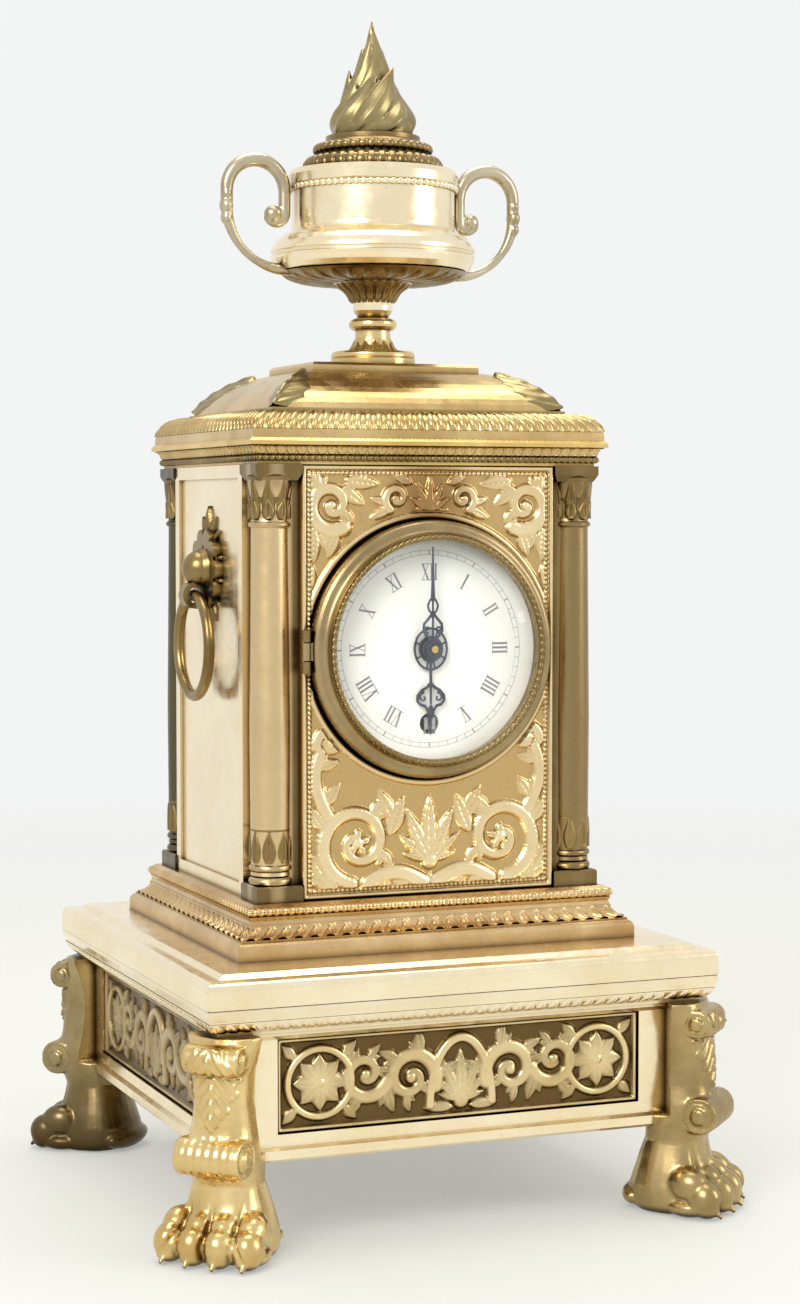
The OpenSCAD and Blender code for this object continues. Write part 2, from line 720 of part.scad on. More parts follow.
// Glazed door frame at the back, with its own hinge knuckles
module back_door() {
    color("goldenrod") {
        difference() {
            translate([-door_w/2, door_y, door_z]) cube([door_w, door_t, door_h]);
            translate([-door_w/2 + door_rail, door_y - 1, door_z + door_rail])
                cube([door_w - 2*door_rail, door_t + 2, door_h - 2*door_rail]);
            // Rebate for the glass
            translate([-door_w/2 + door_rail - 3, door_y - 1, door_z + door_rail - 3])
                cube([door_w - 2*door_rail + 6, 4, door_h - 2*door_rail + 6]);
            rod_y(latch_p, 2.05, door_y - 1, hd + 1);
        }
        for (z = hinge_levels()) knuckle(z + 5.2, 5, 1);
    }
}

// Levels of the two door hinges
function hinge_levels() = [door_z + 14, door_z + door_h - 34];

// One knuckle of a door hinge with its leaf: way 1 reaches the door, way -1 the pillar
module knuckle(z, h, reach) {
    difference() {
        union() {
            translate([door_pin[0], door_pin[1], z]) cylinder(r = door_knuckle_r, h = h, $fn = fine);
            translate([reach > 0 ? door_pin[0] - 8 : door_pin[0], hd, z]) cube([8, 1.2, h]);
        }
        translate([door_pin[0], door_pin[1], z - 1]) cylinder(r = 0.9, h = h + 2, $fn = fine);
    }
}

// Pillar leaves, outer knuckles and pins of the door hinges
module door_hinges() {
    color("goldenrod") for (z = hinge_levels()) {
        knuckle(z, 5, -1);
        knuckle(z + 10.4, 5, -1);
        translate([door_pin[0], door_pin[1], z - 1]) cylinder(r = 0.84, h = 17.4, $fn = fine);
        for (e = [z - 1.6, z + 15.4])
            translate([door_pin[0], door_pin[1], e]) cylinder(r = 1.6, h = 1.6, $fn = fine);
    }
}

// Sheet of glass in the back door
module back_door_glass() {
    color("lightcyan") translate([-door_w/2 + door_rail - 2.8, door_y + 0.8, door_z + door_rail - 2.8])
        cube([door_w - 2*door_rail + 5.6, 2.2, door_h - 2*door_rail + 5.6]);
}

// Turn knob of the back door with its tongue inside
module door_latch() {
    color("goldenrod") {
        rod_y(latch_p, 2, door_y - 4, hd + 3);
        rod_y(latch_p, 5, hd + 0.4, hd + 2);
        translate([latch_p[0], hd + 7, latch_p[1]]) sphere(r = 4.6, $fn = fine);
        translate([latch_p[0] - 2, door_y - 4, latch_p[1]]) cube([4, 2.6, 7]);
    }
}

// White dial with holes for the hour pipe and the winding square
module dial() {
    color("white") difference() {
        rod_y(centre_p, dial_r, dial_front_y, dial_front_y + dial_t);
        rod_y(centre_p, hour_pipe_r + 0.5, dial_front_y - 1, dial_front_y + dial_t + 1);
        rod_y(barrel_p, 3.6, dial_front_y - 1, dial_front_y + dial_t + 1);
    }
}

// Turned bezel ring with its hinge knuckle at nine o'clock
module bezel() {
    y = bezel_back_y;
    r = bezel_d/2;
    a = dial_open_d/2;
    color("saddlebrown") difference() {
        union() {
            translate([0, y, dial_z]) rotate([90, 0, 0]) rotate_extrude($fn = round_n)
                polygon(concat([[glass_r, 0], [r - 0.6, 0], [r, 1.2], [r, 3]], arc(r - 2.4, 3.4, 2.4, 0, 80, 6),
                    arc(r - 2.4, 8, 2.2, -90, -170, 5), [[a + 2.2, bezel_t], [a, bezel_t - 0.8], [a, glass_lip],
                    [glass_r, glass_lip]]));
            translate([bezel_pin[0], bezel_pin[1], dial_z - 3])
                cylinder(r = bezel_knuckle_r, h = 6, $fn = fine);
            translate([bezel_pin[0], bezel_pin[1] - 0.6, dial_z - 3]) cube([3.2, 1.6, 6]);
        }
        translate([bezel_pin[0], bezel_pin[1], dial_z - 10]) cylinder(r = 0.7, h = 20, $fn = fine);
    }
}

// Fixed knuckles and pin of the bezel, on a foot screwed to the front panel
module bezel_hinge() {
    color("saddlebrown") {
        for (z = [dial_z - 7.4, dial_z + 3.4]) {
            translate([bezel_pin[0], bezel_pin[1], z]) cylinder(r = bezel_knuckle_r, h = 4, $fn = fine);
            translate([bezel_pin[0] - 0.4, bezel_pin[1], z]) cube([1.6, front_y - border_t - bezel_pin[1], 4]);
        }
        translate([bezel_pin[0], bezel_pin[1], dial_z - 8]) cylinder(r = 0.64, h = 16, $fn = fine);
    }
}

// Domed glass of the dial
module dial_glass() {
    a = glass_r;
    big = (a*a + glass_rise*glass_rise)/(2*glass_rise);
    half = asin(a/big);
    n = 12;
    color("lightcyan") translate([0, glass_edge_y + glass_t, dial_z]) rotate([90, 0, 0])
        rotate_extrude($fn = round_n)
            polygon(concat([for (i = [0:n]) let (t = half*i/n)
                [big*sin(t), glass_rise + glass_t - big + big*cos(t)]],
                [for (i = [n:-1:0]) let (t = half*i/n) [big*sin(t), glass_rise - big + big*cos(t)]]));
}

// Hour hand: a pierced rosette round the pipe and a leaf tip
module hour_hand() {
    color("black") along_y(centre_p, hour_hand_y - hand_t/2, hour_hand_y + hand_t/2) rotate(180) difference() {
        union() {
            circle(r = 6.2, $fn = fine);
            translate([-0.9, 4]) square([1.8, 19]);
            translate([0, 16]) scale([0.75, 1.2]) circle(r = 4.4, $fn = fine);
            polygon([[-1.5, 20], [1.5, 20], [0, 27]]);
            for (s = [-1, 1]) translate([s*2.6, 9.4]) circle(r = 2.4, $fn = 24);
        }
        circle(r = hour_pipe_r - 0.4, $fn = fine);
        for (s = [-1, 1]) translate([s*1.5, 16]) circle(r = 1.1, $fn = 24);
        for (s = [-1, 1]) translate([s*2.7, 9.4]) circle(r = 1.2, $fn = 24);
    }
}

// Minute hand: long and thin, with a pierced scroll near its root
module minute_hand() {
    color("black") along_y(centre_p, minute_hand_y - hand_t/2, minute_hand_y + hand_t/2) difference() {
        union() {
            circle(r = 4.2, $fn = fine);
            translate([-0.7, 3]) square([1.4, 27]);
            polygon([[-1.3, 29], [1.3, 29], [0, 36]]);
            for (s = [-1, 1]) translate([s*2.4, 8.6]) circle(r = 2.6, $fn = 24);
            translate([0, 13.4]) circle(r = 2.5, $fn = 24);
        }
        circle(r = cannon_r - 0.5, $fn = fine);
        for (s = [-1, 1]) translate([s*2.5, 8.6]) circle(r = 1.4, $fn = 24);
        translate([0, 13.6]) circle(r = 1.1, $fn = 24);
    }
}

// Domed washer and pin that hold the hands
module hand_collet() {
    y = minute_hand_y - hand_t/2;
    color("goldenrod") difference() {
        rod_y(centre_p, 2.9, y - collet_t, y);
        rod_y(centre_p, arbor_r, y - collet_t - 1, y + 1);
    }
}

// Outline of a plate in X and Z
module plate_outline() {
    h = plate_high_z - plate_low_z;
    translate([0, (plate_high_z + plate_low_z)/2 - dial_z]) offset_corners(plate_w, h, 5);
}

// Rectangle with round corners made from four circles and two bars
module offset_corners(w, h, r) {
    square([w - 2*r, h], center = true);
    square([w, h - 2*r], center = true);
    for (x = [-1, 1]) for (y = [-1, 1]) translate([x*(w/2 - r), y*(h/2 - r)]) circle(r = r, $fn = 32);
}

// Places of the four posts that join the plates
function post_places() = [for (x = [-1, 1]) for (z = [plate_low_z + 6, plate_high_z - 6])
    [x*(plate_w/2 - 6), z]];

// A plate with its pivot holes
module plate(y) {
    color("gold") difference() {
        along_y(centre_p, y, y + plate_t) plate_outline();
        for (p = [centre_p, middle_p, anchor_p]) rod_y(p, pivot_r + run_gap, y - 1, y + plate_t + 1);
        for (p = [third_p, escape_p]) rod_y(p, thin_pivot_r + run_gap, y - 1, y + plate_t + 1);
        rod_y(barrel_p, barrel_arbor_r + run_gap, y - 1, y + plate_t + 1);
        for (p = post_places()) rod_y(p, 1.5, y - 1, y + plate_t + 1);
    }
}

// Turned posts between the plates, riveted through them
module plate_posts() {
    color("gold") for (p = post_places()) {
        rod_y(p, 3, gap_a_y, gap_b_y);
        rod_y(p, 3.8, gap_a_y, gap_a_y + 2);
        rod_y(p, 3.8, gap_b_y - 2, gap_b_y);
        rod_y(p, 1.5, gap_a_y - plate_t, gap_b_y + plate_t);
    }
}

// Feet that carry the movement on the back of the front panel
module movement_posts() {
    color("silver") for (p = post_places()) {
        rod_y([p[0], p[1]], 2.6, front_y + panel_t, plate_a_y);
    }
}

// Great wheel and spring barrel
module going_barrel() {
    drum_r = 18.5;
    y = gap_a_y + 2;
    wheel_y = gap_a_y + 16;
    color("gold") difference() {
        union() {
            rod_y(barrel_p, drum_r, y, wheel_y);
            rod_y(barrel_p, drum_r + 0.8, y, y + 1.2);
            gear_y(barrel_p, great_n, great_m, wheel_tooth, way(barrel_p, middle_p), wheel_y, 2);
            rod_y(barrel_p, 6, wheel_y, wheel_y + 3.4);
        }
        rod_y(barrel_p, barrel_arbor_r + run_gap, y - 1, wheel_y + 5);
    }
}

// Winding arbor with its square and ratchet wheel
ratchet_n = 24;
ratchet_r = 7;
module winding_arbor() {
    ratchet_y = plate_a_y - 1.8;
    color("silver") {
        rod_y(barrel_p, barrel_arbor_r, plate_a_y - 2, gap_b_y + plate_t);
        along_y(barrel_p, dial_front_y - 0.5, plate_a_y - 2) square([4.2, 4.2], center = true);
        along_y(barrel_p, ratchet_y, ratchet_y + 1.4)
            polygon([for (i = [0:ratchet_n - 1]) for (q = [[ratchet_r - 1.1, 0], [ratchet_r, 3]])
                let (a = 360*i/ratchet_n + q[1]) q[0]*[cos(a), sin(a)]]);
    }
}

// Click that lets the ratchet wheel turn one way only
module click() {
    y = plate_a_y - 1.8;
    away = way(click_p, barrel_p);
    color("silver") {
        along_y(click_p, y, y + 1.4) {
            circle(r = 2.2, $fn = 32);
            rotate(away + 32) polygon([[0, -1.6], [7.6, -0.5], [7.6, 0.4], [0, 1.6]]);
        }
        rod_y(click_p, 1.2, plate_a_y - 2.6, plate_a_y - 0.05);
    }
}

// Wheel between the great wheel and the centre pinion
module intermediate_wheel() {
    pinion_y = gap_a_y + 15.2;
    wheel_y = gap_a_y + 21;
    color("gold") {
        arbor(middle_p, pivot_r, gap_a_y + shoulder_gap, gap_b_y - shoulder_gap);
        gear_y(middle_p, great_leaf_n, great_m, leaf_tooth,
            way(middle_p, barrel_p) + 180/great_leaf_n, pinion_y, leaf_t);
        difference() {
            gear_y(middle_p, middle_n, middle_m, wheel_tooth, way(middle_p, centre_p), wheel_y, wheel_t);
            spokes_y(middle_p, 4.2, 13, 4, wheel_y, wheel_t);
        }
    }
}

// Centre arbor with its wheel, its pinion and the cannon pinion that drives the motion work
module centre_wheel() {
    pinion_y = gap_a_y + 19.8;
    wheel_y = gap_a_y + 25;
    cannon_y = plate_a_y - 2.4;
    color("gold") {
        rod_y(centre_p, pivot_r, plate_a_y - 1, gap_b_y + plate_t);
        rod_y(centre_p, arbor_r, gap_a_y + shoulder_gap, gap_b_y - shoulder_gap);
        rod_y(centre_p, arbor_r, minute_hand_y - hand_t/2 - collet_t - 0.6, plate_a_y - 0.6);
        rod_y(centre_p, cannon_r - 0.5, minute_hand_y - hand_t/2, minute_hand_y + hand_t/2);
        rod_y(centre_p, cannon_r, minute_hand_y + hand_t/2, plate_a_y - 0.6);
        gear_y(centre_p, cannon_n, cannon_m, leaf_tooth,
            way(centre_p, minute_p) + 180/cannon_n, cannon_y - 0.4, 2.1);
        gear_y(centre_p, middle_leaf_n, middle_m, leaf_tooth,
            way(centre_p, middle_p) + 180/middle_leaf_n, pinion_y, 3.4);
        difference() {
            gear_y(centre_p, centre_n, centre_m, wheel_tooth, way(centre_p, third_p), wheel_y, wheel_t);
            spokes_y(centre_p, 4, 14, 4, wheel_y, wheel_t);
        }
    }
}

// Third wheel
module third_wheel() {
    pinion_y = gap_a_y + 23.9;
    wheel_y = gap_a_y + 4;
    color("gold") {
        arbor(third_p, thin_pivot_r, gap_a_y + shoulder_gap, pinion_y);
        gear_y(third_p, centre_leaf_n, centre_m, leaf_tooth,
            way(third_p, centre_p) + 180/centre_leaf_n, pinion_y, 3.4);
        difference() {
            gear_y(third_p, third_n, third_m, wheel_tooth, way(third_p, escape_p), wheel_y, wheel_t);
            spokes_y(third_p, 3.6, 12.6, 4, wheel_y, wheel_t);
        }
    }
}

// Escape wheel with thirty pointed teeth
module escape_wheel() {
    pinion_y = gap_a_y + 3;
    wheel_y = gap_a_y + 10;
    color("gold") {
        arbor(escape_p, thin_pivot_r, pinion_y + 3.4, gap_b_y - shoulder_gap);
        gear_y(escape_p, third_leaf_n, third_m, leaf_tooth,
            way(escape_p, third_p) + 180/third_leaf_n, pinion_y, 3.4);
        difference() {
            along_y(escape_p, wheel_y, wheel_y + 1)
                polygon([for (i = [0:escape_n - 1])
                    for (q = [[escape_r - 1.8, 0], [escape_r - 1.8, 6], [escape_r, 9.6], [escape_r, 10.4]])
                        let (a = 360*i/escape_n + q[1]) q[0]*[cos(a), sin(a)]]);
            spokes_y(escape_p, 3, 8, 4, wheel_y, 1);
        }
    }
}

// Anchor with its two pallets, its arbor and the crutch behind the back plate
module anchor() {
    y = gap_a_y + 9;
    pallet_r = escape_r + 0.9;
    crutch_y = plate_b_y + 2;
    color("silver") {
        rod_y(anchor_p, pivot_r, gap_a_y - plate_t, crutch_y + 2);
        rod_y(anchor_p, arbor_r, gap_a_y + shoulder_gap, gap_b_y - shoulder_gap);
        // Arms and pallets
        along_y(anchor_p, y, y + 3) {
            circle(r = 2.6, $fn = 32);
            for (s = [-1, 1]) {
                polygon([[0, -1.6], [s*9.4, -3.2], [s*10.4, -1.4], [0, 2.2]]);
                let (c = escape_p - anchor_p, a = 90 - s*46, b = 90 - s*40)
                    polygon([c + pallet_r*[cos(a), sin(a)], [s*10.4, -1.4], [s*8.2, -1.8],
                        c + (pallet_r + 0.3)*[cos(b), sin(b)]]);
            }
        }
        // Crutch with a fork round the pendulum rod
        along_y(anchor_p, crutch_y, crutch_y + 1.6) {
            circle(r = 2.6, $fn = 32);
            translate([-1, -30]) square([2, 30]);
        }
        for (s = [-1, 1])
            translate([s*2.2 - 0.7, crutch_y, anchor_p[1] - 33]) cube([1.4, pend_y - crutch_y + 2.4, 3.4]);
        translate([-2.9, crutch_y, anchor_p[1] - 31]) cube([5.8, 1.6, 2]);
    }
}

// Cock on the back plate that holds the suspension
module back_cock() {
    z = anchor_p[1];
    color("gold") difference() {
        union() {
            translate([-9, plate_b_y, z + 2]) cube([18, 2, 7.4]);
            translate([-4, plate_b_y, z + 5]) cube([8, pend_y - plate_b_y + 4, 4.4]);
        }
        translate([-0.8, pend_y - 2.5, z + 4]) cube([1.6, 5, 8]);
    }
}

// Pendulum rod with its suspension spring and hook
module pendulum_rod() {
    z = anchor_p[1];
    color("goldenrod") {
        translate([-0.15, pend_y - 2, z - 5]) cube([0.3, 4, 12.6]);
        translate([-2, pend_y - 2.6, z - 8]) cube([4, 5.2, 3.4]);
        translate([0, pend_y, z - pendulum_l - bob_r - 4.2])
            cylinder(r = 1.1, h = pendulum_l + bob_r - 3.6, $fn = 32);
    }
}

// Lens-shaped bob with its rating nut
module pendulum_bob() {
    z = anchor_p[1] - pendulum_l;
    color("goldenrod") difference() {
        union() {
            translate([0, pend_y, z]) rotate([90, 0, 0]) rotate_extrude($fn = round_n)
                polygon([[0, -4.5], [7, -4], [bob_r - 1, -2.3], [bob_r, -1.7],
                    [bob_r, 1.7], [bob_r - 1, 2.3], [7, 4], [0, 4.5]]);
            translate([0, pend_y, z - bob_r - 3.4]) cylinder(r = 3, h = 2.4, $fn = 32);
        }
        translate([0, pend_y, z - 30]) cylinder(r = 1.1, h = 60, $fn = 32);
    }
}

// Hour wheel and its pipe
module hour_wheel() {
    y = plate_a_y - 5.4;
    color("gold") difference() {
        union() {
            rod_y(centre_p, hour_pipe_r, hour_hand_y + hand_t/2, y + 1);
            rod_y(centre_p, hour_pipe_r - 0.4, hour_hand_y - hand_t/2 - 0.1, y + 1);
            gear_y(centre_p, hour_n, hour_m, wheel_tooth, way(centre_p, minute_p), y, 1);
        }
        rod_y(centre_p, cannon_r + run_gap, minute_hand_y - 3, y + 3);
    }
}

// Minute wheel and its pinion, on a stud in the front plate
module minute_wheel() {
    y = plate_a_y - 2.5;
    back = plate_a_y - 0.3;
    color("gold") {
        gear_y(minute_p, minute_n, cannon_m, wheel_tooth, way(minute_p, centre_p), y, 1);
        gear_y(minute_p, hour_leaf_n, hour_m, leaf_tooth,
            way(minute_p, centre_p) + 180/hour_leaf_n, y - 3.4, 3.4);
        rod_y(minute_p, 1.1, y - 4, back);
    }
}

leg(-1, -1);  // leg_front_left
leg(1, -1);  // leg_front_right
leg(-1, 1);  // leg_back_left
leg(1, 1);  // leg_back_right
apron_frame();
frieze_at(0, frieze_front_w, apron_d/2);  // frieze_front
frieze_at(180, frieze_front_w, apron_d/2);  // frieze_back
frieze_at(-90, frieze_side_w, apron_w/2);  // frieze_left
frieze_at(90, frieze_side_w, apron_w/2);  // frieze_right
platform_slab();
case_plinth();
pillar(-1, -1);  // pillar_front_left
pillar(1, -1);  // pillar_front_right
pillar(-1, 1);  // pillar_back_left
pillar(1, 1);  // pillar_back_right
cornice();
front_panel();
side_panel(-1);  // side_panel_left
side_panel(1);  // side_panel_right
handle_boss(-1);  // handle_boss_left
handle_boss(1);  // handle_boss_right
ring_handle(-1);  // ring_handle_left
ring_handle(1);  // ring_handle_right
roof();
urn_stem();
urn_body();
urn_handle(-1);  // urn_handle_left
urn_handle(1);  // urn_handle_right
urn_lid();
finial();
urn_tie_rod();
back_door();
back_door_glass();
door_hinges();
door_latch();
dial();
bezel();
dial_glass();
bezel_hinge();
hour_hand();
minute_hand();
hand_collet();
plate(plate_a_y);  // front_plate
plate(gap_b_y);  // back_plate
plate_posts();
movement_posts();
going_barrel();
winding_arbor();
click();
intermediate_wheel();
centre_wheel();
third_wheel();
escape_wheel();
anchor();
back_cock();
pendulum_rod();
pendulum_bob();
hour_wheel();
minute_wheel();
base_bolts();
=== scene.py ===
# Looks of the gilt brass mantel clock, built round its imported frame. Units are metres.
import json
import math

import bmesh
import bpy
import numpy as np
from mathutils import Matrix, Vector


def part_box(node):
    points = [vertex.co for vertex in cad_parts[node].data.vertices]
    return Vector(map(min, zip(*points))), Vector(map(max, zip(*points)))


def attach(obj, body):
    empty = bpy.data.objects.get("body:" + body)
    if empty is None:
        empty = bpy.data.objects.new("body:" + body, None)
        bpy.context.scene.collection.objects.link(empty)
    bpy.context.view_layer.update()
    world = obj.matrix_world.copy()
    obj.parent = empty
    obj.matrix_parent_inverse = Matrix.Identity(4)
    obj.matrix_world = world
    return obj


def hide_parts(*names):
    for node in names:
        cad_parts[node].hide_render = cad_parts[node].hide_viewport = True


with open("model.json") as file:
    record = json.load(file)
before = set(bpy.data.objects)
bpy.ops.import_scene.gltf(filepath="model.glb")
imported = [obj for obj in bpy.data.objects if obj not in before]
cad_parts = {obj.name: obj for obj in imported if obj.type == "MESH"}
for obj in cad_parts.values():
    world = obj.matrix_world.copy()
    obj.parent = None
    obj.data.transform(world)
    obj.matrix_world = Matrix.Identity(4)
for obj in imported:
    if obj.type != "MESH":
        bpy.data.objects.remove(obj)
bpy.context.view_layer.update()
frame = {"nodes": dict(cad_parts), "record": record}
MM = 0.001
BODY_OF = {node: body for body, nodes in frame["record"]["behaviour"]["bodies"].items() for node in nodes}
SLOT_OF = {row["node"]: row["material_slot"] for row in frame["record"]["subparts"]}

# A draft has meshes half as fine
COARSE = 1.0

# Places and sizes of the solids, in millimetres
DIAL_Z = 198
DIAL_PRINT_Y = -53.62
HOUR_HAND_Y = -55.0
MINUTE_HAND_Y = -56.9
HAND_T = 0.7
BEZEL_R = 45
BEZEL_FRONT_Y = -63.3
CREST_AT = (0, -55, 251)
PANEL_RELIEF = 2
PANEL_BACK = -4.0
HALF_OF = {"case_plinth": (64.5, 56), "cornice": (62.5, 54), "roof": (66, 57.5), "platform_slab": (94, 93)}
COLUMN_AT = (56.9, 48.4)
COLUMN_Z = 112
RING_EYE_Z = 225.5
STEM_Z = 299
BOWL_Z = 319.16
LEG_AT = (83, 82)
LEG_TOP = 73.98

# Corners of the clock, with their signs along X and Y
CORNERS = {"front_left": (-1, -1), "front_right": (1, -1), "back_left": (-1, 1), "back_right": (1, 1)}

# Camera, from the perspective of the case corners in the photograph
CAM_YAW = 21.9
CAM_PITCH = 3.0
CAM_PLACE = (-0.3484, -0.8933, 0.2445)
CAM_LENS = 71.9

# The floor: its radius, how much of its look is its own even tone, and where it fades out, in metres
FLOOR_R = 1.7
FLOOR_EVEN = 0.4
FLOOR_FADE = (0.55, 1.35)
LIGHT_AIM = (0, 0, 0.2)


# Objects and node trees
def add_object(name, data):
    obj = bpy.data.objects.new(name, data)
    bpy.context.scene.collection.objects.link(obj)
    return obj


def point_at(obj, place, way):
    """Puts a camera or a lamp at a place, looking along way."""
    obj.location = place
    obj.rotation_mode = "QUATERNION"
    obj.rotation_quaternion = Vector(way).to_track_quat("-Z", "Y")


def fill(node, inputs):
    """Sets a node's inputs: a socket is linked, and anything else is a fixed value."""
    for key, value in inputs.items():
        if isinstance(value, bpy.types.NodeSocket):
            node.id_data.links.new(value, node.inputs[key])
        else:
            node.inputs[key].default_value = value


def make(tree, kind, inputs=None, **props):
    """A new node with its properties and inputs. Gives its outputs."""
    node = tree.nodes.new(kind)
    for key, value in props.items():
        setattr(node, key, value)
    fill(node, inputs or {})
    return node.outputs


def seen_rays(tree):
    """1 for rays from the camera, and for what metal and glass show."""
    path = make(tree, "ShaderNodeLightPath")
    total = path["Is Camera Ray"]
    for name in ("Is Glossy Ray", "Is Transmission Ray"):
        total = make(tree, "ShaderNodeMath", {0: total, 1: path[name]}, operation="MAXIMUM")[0]
    return total


def blend(tree, factor, first, second):
    """A shader that goes from the first to the second as the factor rises to 1."""
    return make(tree, "ShaderNodeMixShader", {0: factor, 1: first, 2: second})[0]


# Materials
def srgb(r, g, b):
    """Linear colour from 0-255 display values."""
    def lin(c):
        c /= 255
        return c / 12.92 if c <= 0.04045 else ((c + 0.055) / 1.055) ** 2.4
    return (lin(r), lin(g), lin(b), 1.0)


class Nodes:
    """Small helper that builds a node tree for one material."""

    def __init__(self, name):
        self.mat = bpy.data.materials.new(name)
        self.mat.use_nodes = True
        self.tree = self.mat.node_tree

    def add(self, kind, inputs=None, **props):
        return make(self.tree, kind, inputs, **props)

    def put(self, **inputs):
        """Sets inputs of the main shader. An underscore stands for a space."""
        for key, value in inputs.items():
            fill(self.tree.nodes["Principled BSDF"], {key.replace("_", " "): value})

    def coords(self, stretch=(1, 1, 1)):
        place = self.add("ShaderNodeTexCoord")["Object"]
        return self.add("ShaderNodeMapping", {"Vector": place, "Scale": stretch})["Vector"]

    def noise(self, scale, detail, rough=0.55, stretch=(1, 1, 1)):
        look = {"Vector": self.coords(stretch), "Scale": scale, "Detail": detail, "Roughness": rough}
        return self.add("ShaderNodeTexNoise", look)["Fac"]

    def ramp(self, value, stops):
        out = self.add("ShaderNodeValToRGB", {"Fac": value})["Color"]
        for element, (place, colour) in zip(out.node.color_ramp.elements, stops):
            element.position = place
            element.color = colour
        return out

    def mix(self, fac, a, b):
        return self.add("ShaderNodeMix", {0: fac, 6: a, 7: b}, data_type="RGBA")[2]

    def range(self, value, low, high, to_low, to_high):
        ends = {"From Min": low, "From Max": high, "To Min": to_low, "To Max": to_high}
        return self.add("ShaderNodeMapRange", {"Value": value, **ends})["Result"]

    def vector(self, operation, *inputs):
        """Vector arithmetic on a place, with a fixed second vector where the operation takes one."""
        out = self.add("ShaderNodeVectorMath", dict(enumerate(inputs)), operation=operation)
        return out["Value" if operation == "LENGTH" else "Vector"]

    def tint(self, scale, detail, low, high):
        """Base colour that drifts between two tones."""
        self.put(Base_Color=self.ramp(self.noise(scale, detail), [(0.3, low), (0.7, high)]))

    def polish(self, scale, detail, low, high, rough=0.55, stretch=(1, 1, 1)):
        """Roughness that drifts between two values."""
        self.put(Roughness=self.range(self.noise(scale, detail, rough, stretch), 0.3, 0.7, low, high))

    def bump(self, height, strength, distance=0.1 * MM):
        pits = {"Strength": strength, "Distance": distance, "Height": height}
        self.put(Normal=self.add("ShaderNodeBump", pits)["Normal"])


def along(axis):
    """Measures how far a point is along an axis."""
    return lambda n: n.add("ShaderNodeSeparateXYZ", {0: n.coords()})[axis]


def from_crest(n):
    """Measures how far a point is from the crest over the dial."""
    return n.vector("LENGTH", n.vector("SUBTRACT", n.coords(), [v * MM for v in CREST_AT]))


def from_column(n):
    """Measures how far a point is from the upright axis of the nearest column."""
    off = n.vector("SUBTRACT", n.vector("ABSOLUTE", n.coords()), [v * MM for v in (*COLUMN_AT, 0)])
    return n.vector("LENGTH", n.vector("MULTIPLY", off, (1, 1, 0)))


def gilt(name, bright, tone, dirt, rough, painted_light_and_shade=()):
    """Gilt or polished brass that drifts to a deeper tone, with patina in its hollows.

    Painted light and shade can be laid on the metal: each is a measure, two of its values in millimetres, and
    a colour that fades out between them.
    """
    n = Nodes(name)
    dirt = srgb(*dirt)
    base = n.ramp(n.noise(38, 5, 0.6), [(0.32, srgb(*tone)), (0.66, srgb(*bright))])
    # Painted light and shade: colours laid over the metal by place
    for measure, start, end, colour in painted_light_and_shade:
        base = n.mix(n.range(measure(n), start * MM, end * MM, 0.0, 1.0), srgb(*colour), base)
    spots = n.ramp(n.noise(420, 3, 0.7), [(0.60, (0, 0, 0, 1)), (0.76, (1, 1, 1, 1))])
    sky = n.add("ShaderNodeAmbientOcclusion", {"Distance": 4 * MM}, samples=8)["AO"]
    stained = n.mix(n.range(sky, 0.35, 0.85, 1.0, 0.0), base, dirt)
    n.put(Base_Color=n.mix(n.range(spots, 0, 1, 0, 0.175), stained, dirt), Metallic=1.0)
    n.polish(160, 6, rough - 0.07, rough + 0.10, rough=0.65)
    n.bump(n.noise(900, 3, 0.6), 0.10, 0.15 * MM)
    return n.mat


def column_gilt(shaft, post=(142, 118, 76)):
    """Dark square posts behind round columns of a colour given per side, as painted light and shade."""
    return post, [0.76 * v for v in post], (42, 32, 18), 0.30, [(from_column, 7.0, 8.2, shaft)]


def plain(name, tint, polish=None, pits=None, stretch=(1, 1, 1), **inputs):
    """Any other material: a drifting tint, and a polish and fine pits where it has them.

    Each is given as the scale and detail of its noise, then its two ends or its strength.
    """
    n = Nodes(name)
    n.tint(*tint)
    n.put(**inputs)
    if polish:
        n.polish(*polish, stretch=stretch)
    if pits:
        scale, detail, strength = pits
        n.bump(n.noise(scale, detail), strength)
    return n.mat
